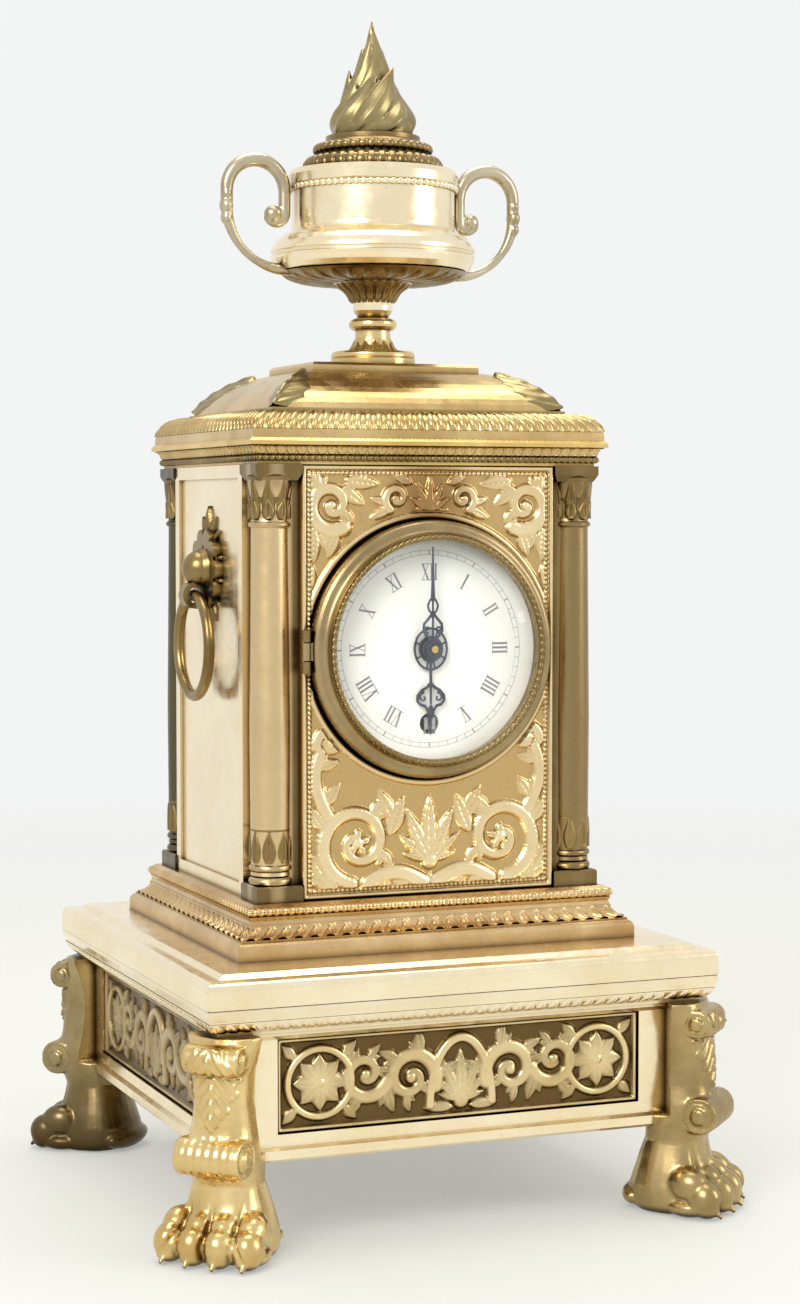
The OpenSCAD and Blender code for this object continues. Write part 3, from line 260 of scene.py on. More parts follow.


# Gilt materials: bright and deep tone, patina in the hollows, roughness, and painted light and shade where it
# has them
FINISHES_AND_PAINTED_LIGHT = {
    "leg_gilt": ((232, 206, 148), (202, 170, 108), (92, 70, 36), 0.24),
    # The front right leg is a darker copy of the leg gilt: painted shade
    "leg_gilt_right_painted_shade": ((190, 166, 116), (152, 130, 86), (64, 50, 28), 0.26),
    # The back legs are darker still, and darker again towards the foot: painted shade
    "leg_gilt_back_painted_shade": ((176, 158, 116), (134, 114, 76), (52, 38, 20), 0.28,
                      [(along("Z"), 4, 40, (84, 68, 42))]),
    "pale_gilt": ((252, 238, 206), (244, 224, 184), (156, 124, 74), 0.20),
    "old_gold": ((160, 136, 88), (120, 98, 58), (50, 38, 20), 0.32),
    "red_gilt": ((222, 192, 142), (190, 154, 104), (86, 58, 30), 0.26),
    "relief_gilt": ((240, 216, 164), (214, 182, 122), (110, 78, 36), 0.27),
    # Painted shade on the front panel: darker towards the ground of its relief, and darker round the crest
    # over the dial
    "panel_gilt": ((252, 234, 192), (240, 216, 166), (112, 80, 38), 0.24,
                   [(along("Y"), -54.05, -55.9, (204, 172, 116)), (from_crest, 7, 19, (166, 132, 84))]),
    "roof_gilt": ((224, 196, 138), (194, 162, 104), (92, 70, 36), 0.24),
    "cornice_gilt": ((242, 208, 136), (214, 178, 106), (104, 78, 36), 0.27),
    "dark_bronze": ((156, 134, 90), (120, 98, 60), (44, 33, 18), 0.28),
    "bezel_gilt": ((178, 156, 114), (142, 122, 84), (50, 38, 22), 0.28),
    "movement_brass": ((232, 198, 126), (214, 176, 102), (120, 90, 44), 0.22),
    "flame_gilt": ((170, 154, 110), (132, 114, 74), (50, 38, 20), 0.30),
    "stem_gilt": ((232, 206, 154), (204, 174, 118), (98, 74, 38), 0.22),
    "handle_gilt": ((202, 190, 164), (168, 154, 126), (84, 70, 46), 0.28),
    # Painted light and shade on the columns: pale on the left as a painted highlight, darker on the right and
    # at the back as painted shade, where the posts are darker too
    "column_gilt_left_painted_light": column_gilt((214, 188, 142)),
    "column_gilt_right_painted_shade": column_gilt((146, 124, 84)),
    "column_gilt_back_painted_shade": column_gilt((98, 90, 66), (112, 102, 74)),
}
MATS = {name: gilt(name, *finish) for name, finish in FINISHES_AND_PAINTED_LIGHT.items()}
MATS.update(
    steel=plain("bright_steel", (120, 4, srgb(150, 150, 152), srgb(200, 200, 200)), (700, 3, 0.2, 0.4),
                (1500, 2, 0.05), stretch=(1, 8, 1), Metallic=1.0),
    clear_glass=plain("clear_glass", (12, 2, (0.97, 0.99, 0.98, 1), (1, 1, 1, 1)), (90, 3, 0.0, 0.03),
                      Transmission_Weight=1.0, IOR=1.45),
    enamel=plain("dial_enamel", (30, 3, srgb(246, 243, 232), srgb(251, 249, 241)), (200, 2, 0.16, 0.24),
                 (260, 2, 0.04)),
    blued_steel=plain("blued_steel", (150, 4, srgb(48, 50, 62), srgb(84, 86, 100)), (300, 3, 0.25, 0.4),
                      (1200, 2, 0.05), Metallic=0.7),
    dial_ink=plain("dial_ink", (200, 3, srgb(118, 116, 116), srgb(146, 143, 141)), Roughness=0.4))

# Nodes whose material departs from that of their slot; for the columns it carries painted light and shade
LOOK_OF = {
    "urn_stem": "stem_gilt",
    "hand_collet": "blued_steel",
    "bezel": "bezel_gilt",
    "cornice": "cornice_gilt",
    "ring_handle_left": "dark_bronze",
    "ring_handle_right": "dark_bronze",
    "pillar_front_left": "column_gilt_left_painted_light",
    "pillar_front_right": "column_gilt_right_painted_shade",
    "pillar_back_left": "column_gilt_back_painted_shade",
    "pillar_back_right": "column_gilt_back_painted_shade",
}


def dress_frame():
    """Each carried-over CAD node takes the material of its slot."""
    for node, obj in frame["nodes"].items():
        obj.data.materials.clear()
        obj.data.materials.append(MATS[LOOK_OF.get(node, SLOT_OF[node])])
    # The panes let the lamps through to what they cover
    for node in ("dial_glass", "back_door_glass"):
        frame["nodes"][node].visible_shadow = False


# Mesh building
def add_mesh(name, verts, faces, slot, node=None, body=None, smooth=True, look=None):
    """A new piece, in metres, that replaces a node or rides on a body. look is a material of its own, some
    with painted light and shade.
    """
    mesh = bpy.data.meshes.new(name)
    mesh.from_pydata([tuple(v) for v in verts], [], [tuple(f) for f in faces])
    mesh.validate()
    mesh.polygons.foreach_set("use_smooth", [smooth] * len(mesh.polygons))
    mesh.materials.append(MATS[look or slot])
    obj = add_object(name, mesh)
    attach(obj, body or BODY_OF[node])
    if node:
        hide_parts(node)


def box_mm(node):
    """The low and the high corner of a node's box, in millimetres."""
    return np.array(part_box(node)) / MM


def on_side(side, half, middle=0):
    """Maps a face's x, z and height to one side of the clock: 0 front, 1 right, 2 back, 3 left.

    half is how far that side stands from the clock's axis, and middle is where z is 0.
    """
    ax, ay, ox, oy = ((1, 0, 0, -1), (0, 1, 1, 0), (-1, 0, 0, 1), (0, -1, -1, 0))[side]

    def point(x, z, t):
        return (ax * x + ox * (half + t)) * MM, (ay * x + oy * (half + t)) * MM, (z + middle) * MM
    return point


def grid(rows, across, first=0, closed=False):
    """Faces of a net of points. closed joins its last row to its first."""
    faces = []
    for i in range(rows if closed else rows - 1):
        a, b = first + i * across, first + (i + 1) % rows * across
        faces += [(a + k, b + k, b + k + 1, a + k + 1) for k in range(across - 1)]
    return faces


# Lines in a plane, in millimetres
def polar(reach, degrees):
    """A point by its distance and angle from the origin."""
    a = math.radians(degrees)
    return reach * math.cos(a), reach * math.sin(a)


def arc(cx, cz, r, start, end, count=9, tall=None):
    """Part of a circle between two angles in degrees, or of an oval as wide as r and as high as tall."""
    high = tall or r
    angles = np.radians(np.linspace(start, end, count))
    return [(cx + r * math.cos(a), cz + high * math.sin(a)) for a in angles]


def spiral(cx, cz, r, turns, start, hand=1, shrink=0.86, count=70):
    """A scroll that rolls in to its centre."""
    t = np.linspace(0, 1, count)
    angle = math.radians(start) + hand * 2 * math.pi * turns * t
    radius = r * (1 - shrink * t)
    return np.stack([cx + radius * np.cos(angle), cz + radius * np.sin(angle)], 1)


def mirrored(points, s):
    """The points as they are for s = 1, or swapped left to right for s = -1."""
    return np.array(points, float) * (s, 1)


# Relief: a height map made of stems, leaves and petals, all in millimetres
def swell(q):
    """A round back: 1 where q is 0, falling to 0 where it is 1 or more."""
    return np.sqrt(np.clip(1 - q, 0, 1))


class Relief:
    """A rectangle of metal, w by h, with raised forms. Heights stand out of its face."""

    def __init__(self, w, h, step, plump=1.0):
        self.w, self.h, self.plump = w, h, plump
        self.nx, self.nz = int(w / step) + 1, int(h / step) + 1
        xs = np.linspace(-w / 2, w / 2, self.nx)
        zs = np.linspace(-h / 2, h / 2, self.nz)
        self.x, self.z = np.meshgrid(xs, zs)
        self.height = np.zeros_like(self.x)

    def raise_to(self, rise):
        self.height = np.maximum(self.height, rise)

    def edge(self):
        """How far each point is from the nearest edge of the rectangle."""
        return np.minimum(self.w / 2 - np.abs(self.x), self.h / 2 - np.abs(self.z))

    def stem(self, points, w0, w1, high, vein=0.0):
        """A round-backed stem along the points, as wide as w0 at its start and w1 at its end."""
        best = np.full_like(self.x, 1e9)
        run = np.zeros_like(self.x)
        for i, (px, pz) in enumerate(points):
            d = np.hypot(self.x - px, self.z - pz)
            closer = d < best
            best[closer] = d[closer]
            run[closer] = i / (len(points) - 1)
        width = (w0 + (w1 - w0) * run) * self.plump
        q = np.clip(1 - (best / width) ** 2, 0, 1)
        rise = high * q ** 0.66 * (0.55 + 0.45 * width / (max(w0, w1) * self.plump))
        if vein:
            rise -= vein * np.exp(-(best / (0.25 * width)) ** 2) * (q > 0)
        self.raise_to(rise)

    def petal(self, cx, cz, a, b, turn, high, vein=0.0):
        """A pointed oval that lies along the angle turn, highest near its root."""
        b *= self.plump
        c, s = math.cos(math.radians(turn)), math.sin(math.radians(turn))
        u = (self.x - cx) * c + (self.z - cz) * s
        v = -(self.x - cx) * s + (self.z - cz) * c
        t = np.clip((u + a) / (2 * a), 0, 1)
        half = b * np.sin(math.pi * t ** 0.8) ** 0.9
        q = np.where(half > 1e-6, 1 - (v / np.maximum(half, 1e-6)) ** 2, 0)
        q = np.clip(q, 0, 1) * (np.abs(u) < a)
        rise = high * q ** 0.7 * (1 - 0.35 * t)
        if vein:
            rise -= vein * np.exp(-(v / (0.16 * b)) ** 2) * (q > 0)
            # Side veins that lean towards the tip
            lean = np.cos(2 * math.pi * (u - 0.8 * np.abs(v)) / (0.30 * a))
            rise -= 0.45 * vein * np.clip(lean, 0, 1) ** 2 * q
        self.raise_to(rise)

    def pair(self, cx, cz, a, b, turn, high, vein=0.45):
        """The same petal on both sides of the middle line."""
        self.petal(cx, cz, a, b, turn, high, vein)
        self.petal(-cx, cz, a, b, 180 - turn, high, vein)

    def fan(self, cz, blades, slim, high, vein):
        """Petals that spread from the middle line: blades are angles off upright and half lengths."""
        for lean, size in blades:
            x, z = polar(size, 90 - lean)
            self.pair(x, cz + z, size, size * slim, 90 - lean, high, vein)

    def ring(self, cx, cz, reach, count, start, a, b, high, vein):
        """Petals that point outward all round a place."""
        for i in range(count):
            turn = 360 * i / count + start
            x, z = polar(reach, turn)
            self.petal(cx + x, cz + z, a, b, turn, high, vein)

    def dome(self, cx, cz, r, high):
        self.raise_to(high * swell(((self.x - cx) ** 2 + (self.z - cz) ** 2) / r ** 2))

    def hoop(self, away, r, half, high):
        """A round-backed hoop of radius r, where away is the distance from its centre."""
        self.raise_to(high * swell(((away - r) / half) ** 2))

    def leafy(self, points, w0, w1, high, count, size, hand=1):
        """A scroll with acanthus leaves that grow off its outer edge."""
        self.stem(points, w0, w1, high, vein=0.25)
        for k in range(count):
            i = int((0.04 + 0.62 * k / (count - 1)) * (len(points) - 2))
            (ax, az), (bx, bz) = points[i], points[i + 1]
            way = math.degrees(math.atan2(bz - az, bx - ax))
            length = size * (1 - 0.45 * k / count)
            for lean, scale in ((-62, 1.0), (-28, 0.72)):
                turn = way + hand * lean
                x, z = polar(w0 * 0.5 + length * scale, turn)
                self.petal(ax + x, az + z, length * scale, length * 0.42 * scale, turn, high * 0.85, 0.4)

    def border(self, margin, width, high):
        """A flat margin round the edge, with a round-backed lip on it."""
        edge = self.edge()
        self.height = np.where(edge < margin, 0.0, self.height)
        self.raise_to(high * swell(((edge - width / 2) / (width / 2)) ** 2) * (edge < width))

    def grain(self, deep, seed):
        """Punched ground: small pits between the raised forms."""
        pits = np.random.default_rng(seed).random(self.height.shape) * deep
        self.height = np.where(self.height < 0.12, self.height - pits, self.height)

    def mesh(self, to_world, back, hole=None):
        """Vertices and faces of a closed plate. to_world maps x, z and height to a point in metres.

        Where it has a hole, the caller adds the hole's wall and the flat back.
        """
        xs, zs, hs = self.x.ravel(), self.z.ravel(), self.height.ravel()
        verts = list(zip(*to_world(xs, zs, hs)))
        faces = [(a, d, c, b) for a, b, c, d in grid(self.nz, self.nx) if not (hole and hole(xs[a], zs[a]))]
        net = np.arange(len(verts)).reshape(self.nz, self.nx)
        rim = [*net[0], *net[1:, -1], *net[-1, -2::-1], *net[-2:0:-1, 0]]
        first, count = len(verts), len(rim)
        verts += [to_world(xs[i], zs[i], back) for i in rim]
        for k in range(count):
            m = (k + 1) % count
            faces.append((rim[k], first + k, first + m, rim[m]))
        if not hole:
            faces.append(tuple(first + k for k in range(count - 1, -1, -1)))
        return verts, faces


# Cast pieces
def panel_foliage(r):
    """Scrolls and leaves of the front panel, alike on both sides of its middle line."""
    t = np.linspace(0, 1, 24)
    arm = np.stack([3 + 20 * t, -71 + 4 * np.sin(3 * t)], 1)
    rise = np.stack([38 + 4.5 * np.sin(2.6 * t), -46 + 22 * t], 1)
    low_scroll = np.vstack([arm, spiral(27, -56, 14.5, 1.45, -80)])
    side_scroll = np.vstack([rise, spiral(37, -21, 5.2, 1.2, -10)])
    eyes = ((27, -56, 2.4, 2.0), (37, -21, 1.6, 1.7), (36.5, 61, 1.9, 1.9), (12.5, 63.5, 1.1, 1.7))
    for s in (1, -1):
        # Large scroll under the dial, small one that runs up beside it, corner scroll over it, and the crest
        r.leafy(mirrored(low_scroll, s), 2.6, 1.1, 1.9, 6, 6.5, hand=s)
        r.leafy(mirrored(side_scroll, s), 1.9, 0.9, 1.6, 5, 4.6, hand=-s)
        r.leafy(mirrored(spiral(36.5, 61, 9.0, 1.35, -120), s), 2.2, 0.9, 1.8, 5, 4.8, hand=s)
        r.stem(mirrored(spiral(12.5, 63.5, 4.6, 1.25, -60), s), 1.3, 0.8, 1.9, vein=0.3)
        for x, z, size, high in eyes:
            r.dome(s * x, z, size, high)
        r.ring(s * 27, -56, 3.3, 5, 20 if s > 0 else 160, 1.9, 1.2, 1.8, 0.45)
    # Corner leaves at the foot
    for turn, size in ((25, 6.5), (55, 7.5), (88, 6.0)):
        x, z = polar(size, turn)
        r.pair(38 + 0.6 * x, -71 + z, size, size * 0.36, turn, 1.6)
    # Leaves beside the palmette, sprays round the dial, and leaves that trail off the crest
    for x, z, a, b, turn, high in (
            (12.5, -47, 7.5, 2.6, 112, 1.6), (16.5, -43, 6.5, 2.2, 62, 1.4), (25, 69, 6.5, 2.1, 186, 1.5),
            (28, 63.5, 4.6, 1.8, 215, 1.5), (43, 47, 6.2, 2.0, 268, 1.5), (38.6, 48.5, 4.4, 1.7, 245, 1.5),
            (43.5, 69.5, 3.6, 1.9, 45, 1.5), (44, 36, 4.6, 1.5, 272, 1.5), (18.5, 58.2, 4.6, 1.5, -24, 1.6),
            (18.8, 62.6, 3.6, 1.3, 14, 1.6), (10.5, 70.2, 4.2, 1.4, 24, 1.6)):
        r.pair(x, z, a, b, turn, high)
    # Palmette, rosette and fan on the middle line
    r.fan(-63, ((0, 11.5), (26, 10.2), (51, 7.6), (76, 5.4)), 0.22, 2.0, 0.5)
    r.dome(0, -63, 3.4, 2.0)
    rosette(r, 0, -70.5, 3.4, 6, 1.4)
    r.fan(58.5, ((0, 6.6), (26, 6.0), (54, 4.9), (82, 3.6)), 0.2, 1.9, 0.35)
    r.dome(0, 58.6, 2.4, 2.0)


def rosette(r, cx, cz, size, petals, high):
    r.ring(cx, cz, 0.56 * size, petals, 90, 0.46 * size, 0.27 * size, high, 0.25)
    r.dome(cx, cz, 0.24 * size, high * 1.15)


def front_panel():
    """Front panel with chased scroll foliage, replacing the plain one."""
    low, high = box_mm("front_panel")
    w, h = high[0] - low[0], high[2] - low[2]
    mid = (low[2] + high[2]) / 2
    dial = DIAL_Z - mid
    r = Relief(w, h, 0.42 * COARSE, plump=1.4)
    panel_foliage(r)
    # Ring that frames the bezel, then a lip and a row of beads along the edge
    away = np.hypot(r.x, r.z - dial)
    r.height = np.where(away < BEZEL_R + 3.4, np.minimum(r.height, 0.2), r.height)
    r.hoop(away, BEZEL_R + 1.6, 1.3, 1.1)
    r.border(3.6, 1.9, 1.3)
    run = np.where(w / 2 - np.abs(r.x) < h / 2 - np.abs(r.z), r.z, r.x)
    bead = ((run + 200) % 1.7 - 0.85) ** 2 + (r.edge() - 2.9) ** 2
    r.raise_to(swell(bead / 0.62))
    r.grain(0.10, 4)
    # The points nearest the dial opening move onto its circle
    hole = BEZEL_R - 3.4
    scale = np.where(np.abs(away - hole) < r.w / r.nx * 0.72, hole / np.maximum(away, 1e-6), 1.0)
    r.x, r.z = r.x * scale, dial + (r.z - dial) * scale
    to = on_side(0, -(low[1] + PANEL_RELIEF), mid)
    verts, faces = r.mesh(to, PANEL_BACK, hole=lambda x, z: math.hypot(x, z - dial) < hole - 0.3)
    # Wall of the dial opening, and the flat back round it
    corners = [math.atan2(z - dial, x) for x in (-w / 2, w / 2) for z in (-h / 2, h / 2)]
    angles = sorted(corners + [2 * math.pi * (i + 0.5) / 96 - math.pi for i in range(96)])
    first, count = len(verts), len(angles)
    for a in angles:
        c, s = math.cos(a), math.sin(a)
        up = (h / 2 - dial) if s > 0 else (h / 2 + dial)
        reach = min(w / 2 / max(abs(c), 1e-9), up / max(abs(s), 1e-9))
        for far, t in ((hole, 0.3), (hole, PANEL_BACK), (reach, PANEL_BACK)):
            verts.append(to(far * c, dial + far * s, t))
    for i in range(count):
        a, b = first + 3 * i, first + 3 * ((i + 1) % count)
        faces += [(a, a + 1, b + 1, b), (a + 1, a + 2, b + 2, b + 1)]
    add_mesh("front_panel_relief", verts, faces, "relief_gilt", node="front_panel", look="panel_gilt")


def frieze(node, side):
    """A cast frieze: palmette under an arch in the middle, running scrolls, rosettes in rings at the ends."""
    low, high = box_mm(node)
    w = (high[0] - low[0]) if side in (0, 2) else (high[1] - low[1])
    h = high[2] - low[2]
    mid = (low[2] + high[2]) / 2
    out = (-low[1], high[0], high[1], -low[0])[side]
    back = (-high[1], low[0], low[1], -high[0])[side]
    r = Relief(w, h, 0.4 * COARSE, plump=1.4)
    arch = arc(0, -11, 11.5, 0, math.degrees(1.57), 40, tall=22.5)
    for s in (1, -1):
        # Ring with a rosette, and a leaf in each of its corners
        cx = s * (w / 2 - 15.5)
        r.hoop(np.hypot(r.x - cx, r.z), 11.4, 1.5, 1.8)
        rosette(r, cx, 0, 9.6, 8, 1.9)
        r.ring(cx, 0, math.hypot(10.9, 10.9), 4, 45, 3.4, 1.7, 1.5, 0.2)
        # Running scrolls
        r.leafy(mirrored(spiral(18.5, -1.0, 9.6, 1.4, 200, hand=-1), s), 2.3, 1.0, 1.9, 6, 4.6, hand=-s)
        r.dome(s * 18.5, -1.0, 2.2, 1.9)
        r.leafy(mirrored(spiral(35.0, 1.4, 8.8, 1.35, -160), s), 2.1, 1.0, 1.8, 6, 4.4, hand=s)
        r.dome(s * 35.0, 1.4, 2.0, 1.9)
        r.stem(mirrored(arch, s), 1.4, 1.4, 1.9, vein=0.3)
    r.pair(8.5, -12, 5.5, 1.8, 0, 1.6, 0.2)
    r.fan(-10, ((0, 9.0), (26, 8.0), (50, 6.2), (74, 4.6)), 0.25, 1.9, 0.3)
    r.dome(0, -10, 3.2, 1.9)
    r.border(2.2, 1.8, 1.6)
    r.grain(0.14, 11 + side)
    ground = out - 2.0
    verts, faces = r.mesh(on_side(side, ground, mid), back - ground)
    # Painted light and shade: the ground and the lower sides of the raised forms are coloured darker as
    # painted shade, and the frieze that faces the key lamp is coloured brighter than the others as painted
    # light
    way = -1 if side in (0, 3) else 1
    axis = along("Y" if side in (0, 2) else "X")
    dark = (axis, way * (ground + 0.15), way * (ground + 1.6), (108, 86, 52))
    bright, tone = ((238, 216, 168), (206, 180, 126)) if side == 0 else ((204, 182, 138), (164, 140, 96))
    MATS[node] = gilt(node + "_gold", bright, tone, (52, 38, 20), 0.28, [dark])
    add_mesh(node + "_cast", verts, faces, "old_gold", node=node, look=node)


def boss(node, side):
    """Cast plate behind a ring: a petalled rosette with leaves above and below."""
    r = Relief(32, 46, 0.34 * COARSE)
    r.ring(0, 0, 8.6, 10, 18, 6.0, 3.3, 2.7, 0.5)
    r.ring(0, 0, 5.8, 10, 0, 4.4, 2.0, 3.4, 0.4)
    r.dome(0, 0, 6.0, 4.2)
    for up in (1, -1):
        r.petal(0, up * 16.2, 6.2, 2.7, up * 90, 2.6, 0.5)
        r.pair(4.6, up * 14.6, 5.0, 1.9, up * 58, 2.1, 0.4)
        r.pair(8.2, up * 11.6, 4.0, 1.6, up * 32, 1.8, 0.3)
    # The sheet between the leaves stays inside the panel
    r.height = np.where(r.height < 0.05, -0.9, r.height)
    verts, faces = r.mesh(on_side(side, HALF_OF["cornice"][0], RING_EYE_Z), -1.5)
    add_mesh(node + "_leaves", verts, faces, "dark_bronze", body=BODY_OF[node])


# Rings of moulding with a repeated cast pattern. u runs along the moulding, v across it.
def egg(u, v):
    """Egg and dart: one egg and one dart to each unit of u."""
    oval = swell(((u - 0.5) / 0.30) ** 2 + ((v - 0.52) / 0.46) ** 2)
    dart = swell((np.minimum(u, 1 - u) / (0.09 * (1.15 - v))) ** 2)
    rim = 0.45 * np.clip(1 - ((np.hypot((u - 0.5) / 0.41, (v - 0.55) / 0.56) - 1) / 0.16) ** 2, 0, 1)
    return np.maximum(np.maximum(oval, 0.7 * dart), rim)


def leaves(u, v):
    """Upright water leaves with a mid rib."""
    half = 0.47 * np.sin(math.pi * np.clip(0.12 + 0.88 * v, 0, 1) ** 0.75)
    body = swell(((u - 0.5) / np.maximum(half, 1e-3)) ** 2)
    rib = 0.35 * np.exp(-((u - 0.5) / 0.05) ** 2)
    return np.maximum(body * (0.8 - 0.2 * v) - rib * (v > 0.08), 0.25 * (v > 0.9))


def beads(u, v):
    return swell(((u - 0.5) / 0.44) ** 2 + ((v - 0.5) / 0.46) ** 2)


def ribs(u, v):
    return swell(((u - 0.5) / 0.42) ** 2) * np.clip(8 * np.minimum(v, 1 - v), 0, 1)


def section(profile, across):
    """Even points along a profile: v from 0 to 1, two coordinates, and the outward normal's two."""
    prof = np.array(profile, float)
    run = np.concatenate([[0], np.cumsum(np.hypot(*np.diff(prof, axis=0).T))])
    v = np.linspace(0, 1, across)
    p, q = (np.interp(v * run[-1], run, prof[:, i]) for i in (0, 1))
    dp, dq = np.gradient(p), np.gradient(q)
    size = np.hypot(dp, dq)
    out, up = dq / size, -dp / size
    if out.sum() + abs(up.sum()) * 0.01 < 0:
        out, up = -out, -up
    return v, p, q, out, up


def band(name, node, profile, period, pattern, high, slot, across):
    """A moulding that runs round a rectangle. profile is offset and height along its section."""
    v, o, z, no, nz = section(profile, across)
    verts, faces = [], []
    for side in range(4):
        half, other = HALF_OF[node] if side in (0, 2) else HALF_OF[node][::-1]
        count = round(2 * half / period)
        n = int(2 * half / (0.22 * COARSE)) + 1
        t = np.linspace(-1, 1, n)
        u = ((t + 1) / 2 * count) % 1.0
        d = high * pattern(u[:, None], v)
        d[0], d[-1] = 0, 0
        out = o + d * no
        place = on_side(side, other)(t[:, None] * (half + out), z + d * nz, out)
        faces += grid(n, across, first=len(verts))
        verts += list(np.stack(place, 2).reshape(-1, 3))
    add_mesh(name, verts, faces, slot, body=BODY_OF[node])


def ring_band(name, node, centre, profile, count, pattern, high, slot, across=10, per=12, axis="Z"):
    """The same round a turned piece, about Z or Y: profile is radius and place along the axis."""
    v, r, h, nr, nh = section(profile, across)
    per = round(per / COARSE)
    n = count * per
    i = np.arange(n)[:, None]
    a = 2 * math.pi * i / n
    d = high * pattern((i / per) % 1.0, v)
    x, y, up = (r + d * nr) * np.cos(a), (r + d * nr) * np.sin(a), h + d * nh
    place = {"Z": (x, y, up), "Y": (x, up, y)}[axis]
    verts = (np.stack(place, 2).reshape(-1, 3) + centre) * MM
    add_mesh(name, verts, grid(n, across, closed=True), slot, body=BODY_OF[node])


# Lumps in a bmesh, in millimetres, that are later fused into one cast skin
def ball(bm, place, r, squash=(1, 1, 1), turn=0.0):
    """A round lump. turn is about Z, in degrees."""
    spin = Matrix.Rotation(math.radians(turn), 4, "Z")
    size = Matrix.Diagonal((*[r * q for q in squash], 1))
    bmesh.ops.create_icosphere(bm, subdivisions=3, radius=1.0, matrix=Matrix.Translation(place) @ spin @ size)


def rod(bm, a, b, r0, r1):
    """A tapered round rod from a to b."""
    a, b = Vector(a), Vector(b)
    way = b - a
    spin = way.to_track_quat("Z", "Y").to_matrix().to_4x4()
    bmesh.ops.create_cone(bm, segments=24, radius1=r0, radius2=r1, depth=way.length, cap_ends=True,
                          matrix=Matrix.Translation((a + b) / 2) @ spin)


def join(bm, low, high):
    """Faces between two rings of vertices."""
    count = len(low)
    for i in range(count):
        k = (i + 1) % count
        bm.faces.new((low[i], low[k], high[k], high[i]))


def loft(bm, rows, power=0.8, count=32):
    """A closed lofted body: rows of height, outward place, half size outward, half size across."""
    rings = []
    for z, x, a, b in rows:
        ring = []
        for i in range(count):
            c, s = math.cos(2 * math.pi * i / count), math.sin(2 * math.pi * i / count)
            out, side = a * math.copysign(abs(c) ** power, c), b * math.copysign(abs(s) ** power, s)
            ring.append(bm.verts.new((x + out, side, z)))
        rings.append(ring)
    for low, high in zip(rings, rings[1:]):
        join(bm, low, high)
    bm.faces.new(rings[0][::-1])
    bm.faces.new(rings[-1])


def tongue(bm, angle, twist, r0, r1, z0, z1, wide, thick, sway, rings=26, count=14):
    """One tongue of flame that winds about the Z axis and ends in a point."""
    last = None
    for j in range(rings + 1):
        t = j / rings
        a = math.radians(angle + twist * t)
        r = r0 + (r1 - r0) * t + sway * math.sin(2 * math.pi * t)
        centre = Vector((r * math.cos(a), r * math.sin(a), z0 + (z1 - z0) * t))
        if j == rings:
            tip = bm.verts.new(centre)
            for i in range(count):
                bm.faces.new((last[i], last[(i + 1) % count], tip))
            break
        fat = math.sin(math.pi * (0.10 + 0.90 * t) ** 0.72) ** 0.85
        out = Vector((math.cos(a), math.sin(a), 0))
        side = Vector((-math.sin(a), math.cos(a), 0))
        ring = []
        for i in range(count):
            q = 2 * math.pi * i / count
            ridge = 1 + 0.22 * math.cos(3 * q)
            spot = centre + out * (math.cos(q) * thick * fat * ridge)
            ring.append(bm.verts.new(spot + side * (math.sin(q) * wide * fat)))
        if last:
            join(bm, last, ring)
        else:
            bm.faces.new(ring[::-1])
        last = ring


def fuse(bm, voxel, smooth, rounds):
    """Melts the closed lumps of a bmesh into one skin. Gives its vertices, their normals and its faces."""
    mesh = bpy.data.meshes.new("casting")
    bm.to_mesh(mesh)
    bm.free()
    obj = add_object("casting", mesh)
    melt = obj.modifiers.new("melt", "REMESH")
    melt.mode = "VOXEL"
    melt.voxel_size = voxel * COARSE
    soft = obj.modifiers.new("soft", "SMOOTH")
    soft.factor, soft.iterations = smooth, rounds
    made = bpy.data.meshes.new_from_object(obj.evaluated_get(bpy.context.evaluated_depsgraph_get()))
    co, no = np.zeros((2, len(made.vertices) * 3))
    made.vertices.foreach_get("co", co)
    made.vertices.foreach_get("normal", no)
    faces = [tuple(p.vertices) for p in made.polygons]
    bpy.data.objects.remove(obj)
    bpy.data.meshes.remove(mesh)
    bpy.data.meshes.remove(made)
    return co.reshape(-1, 3), no.reshape(-1, 3), faces


# Rolls across the leg, at the knee and under the slab: place, radius, half length, and where the end begins
LEG_ROLLS = ((12, 35, 6.4, 11.8, 10.6), (10.6, 67, 4.9, 10.2, 9.2))


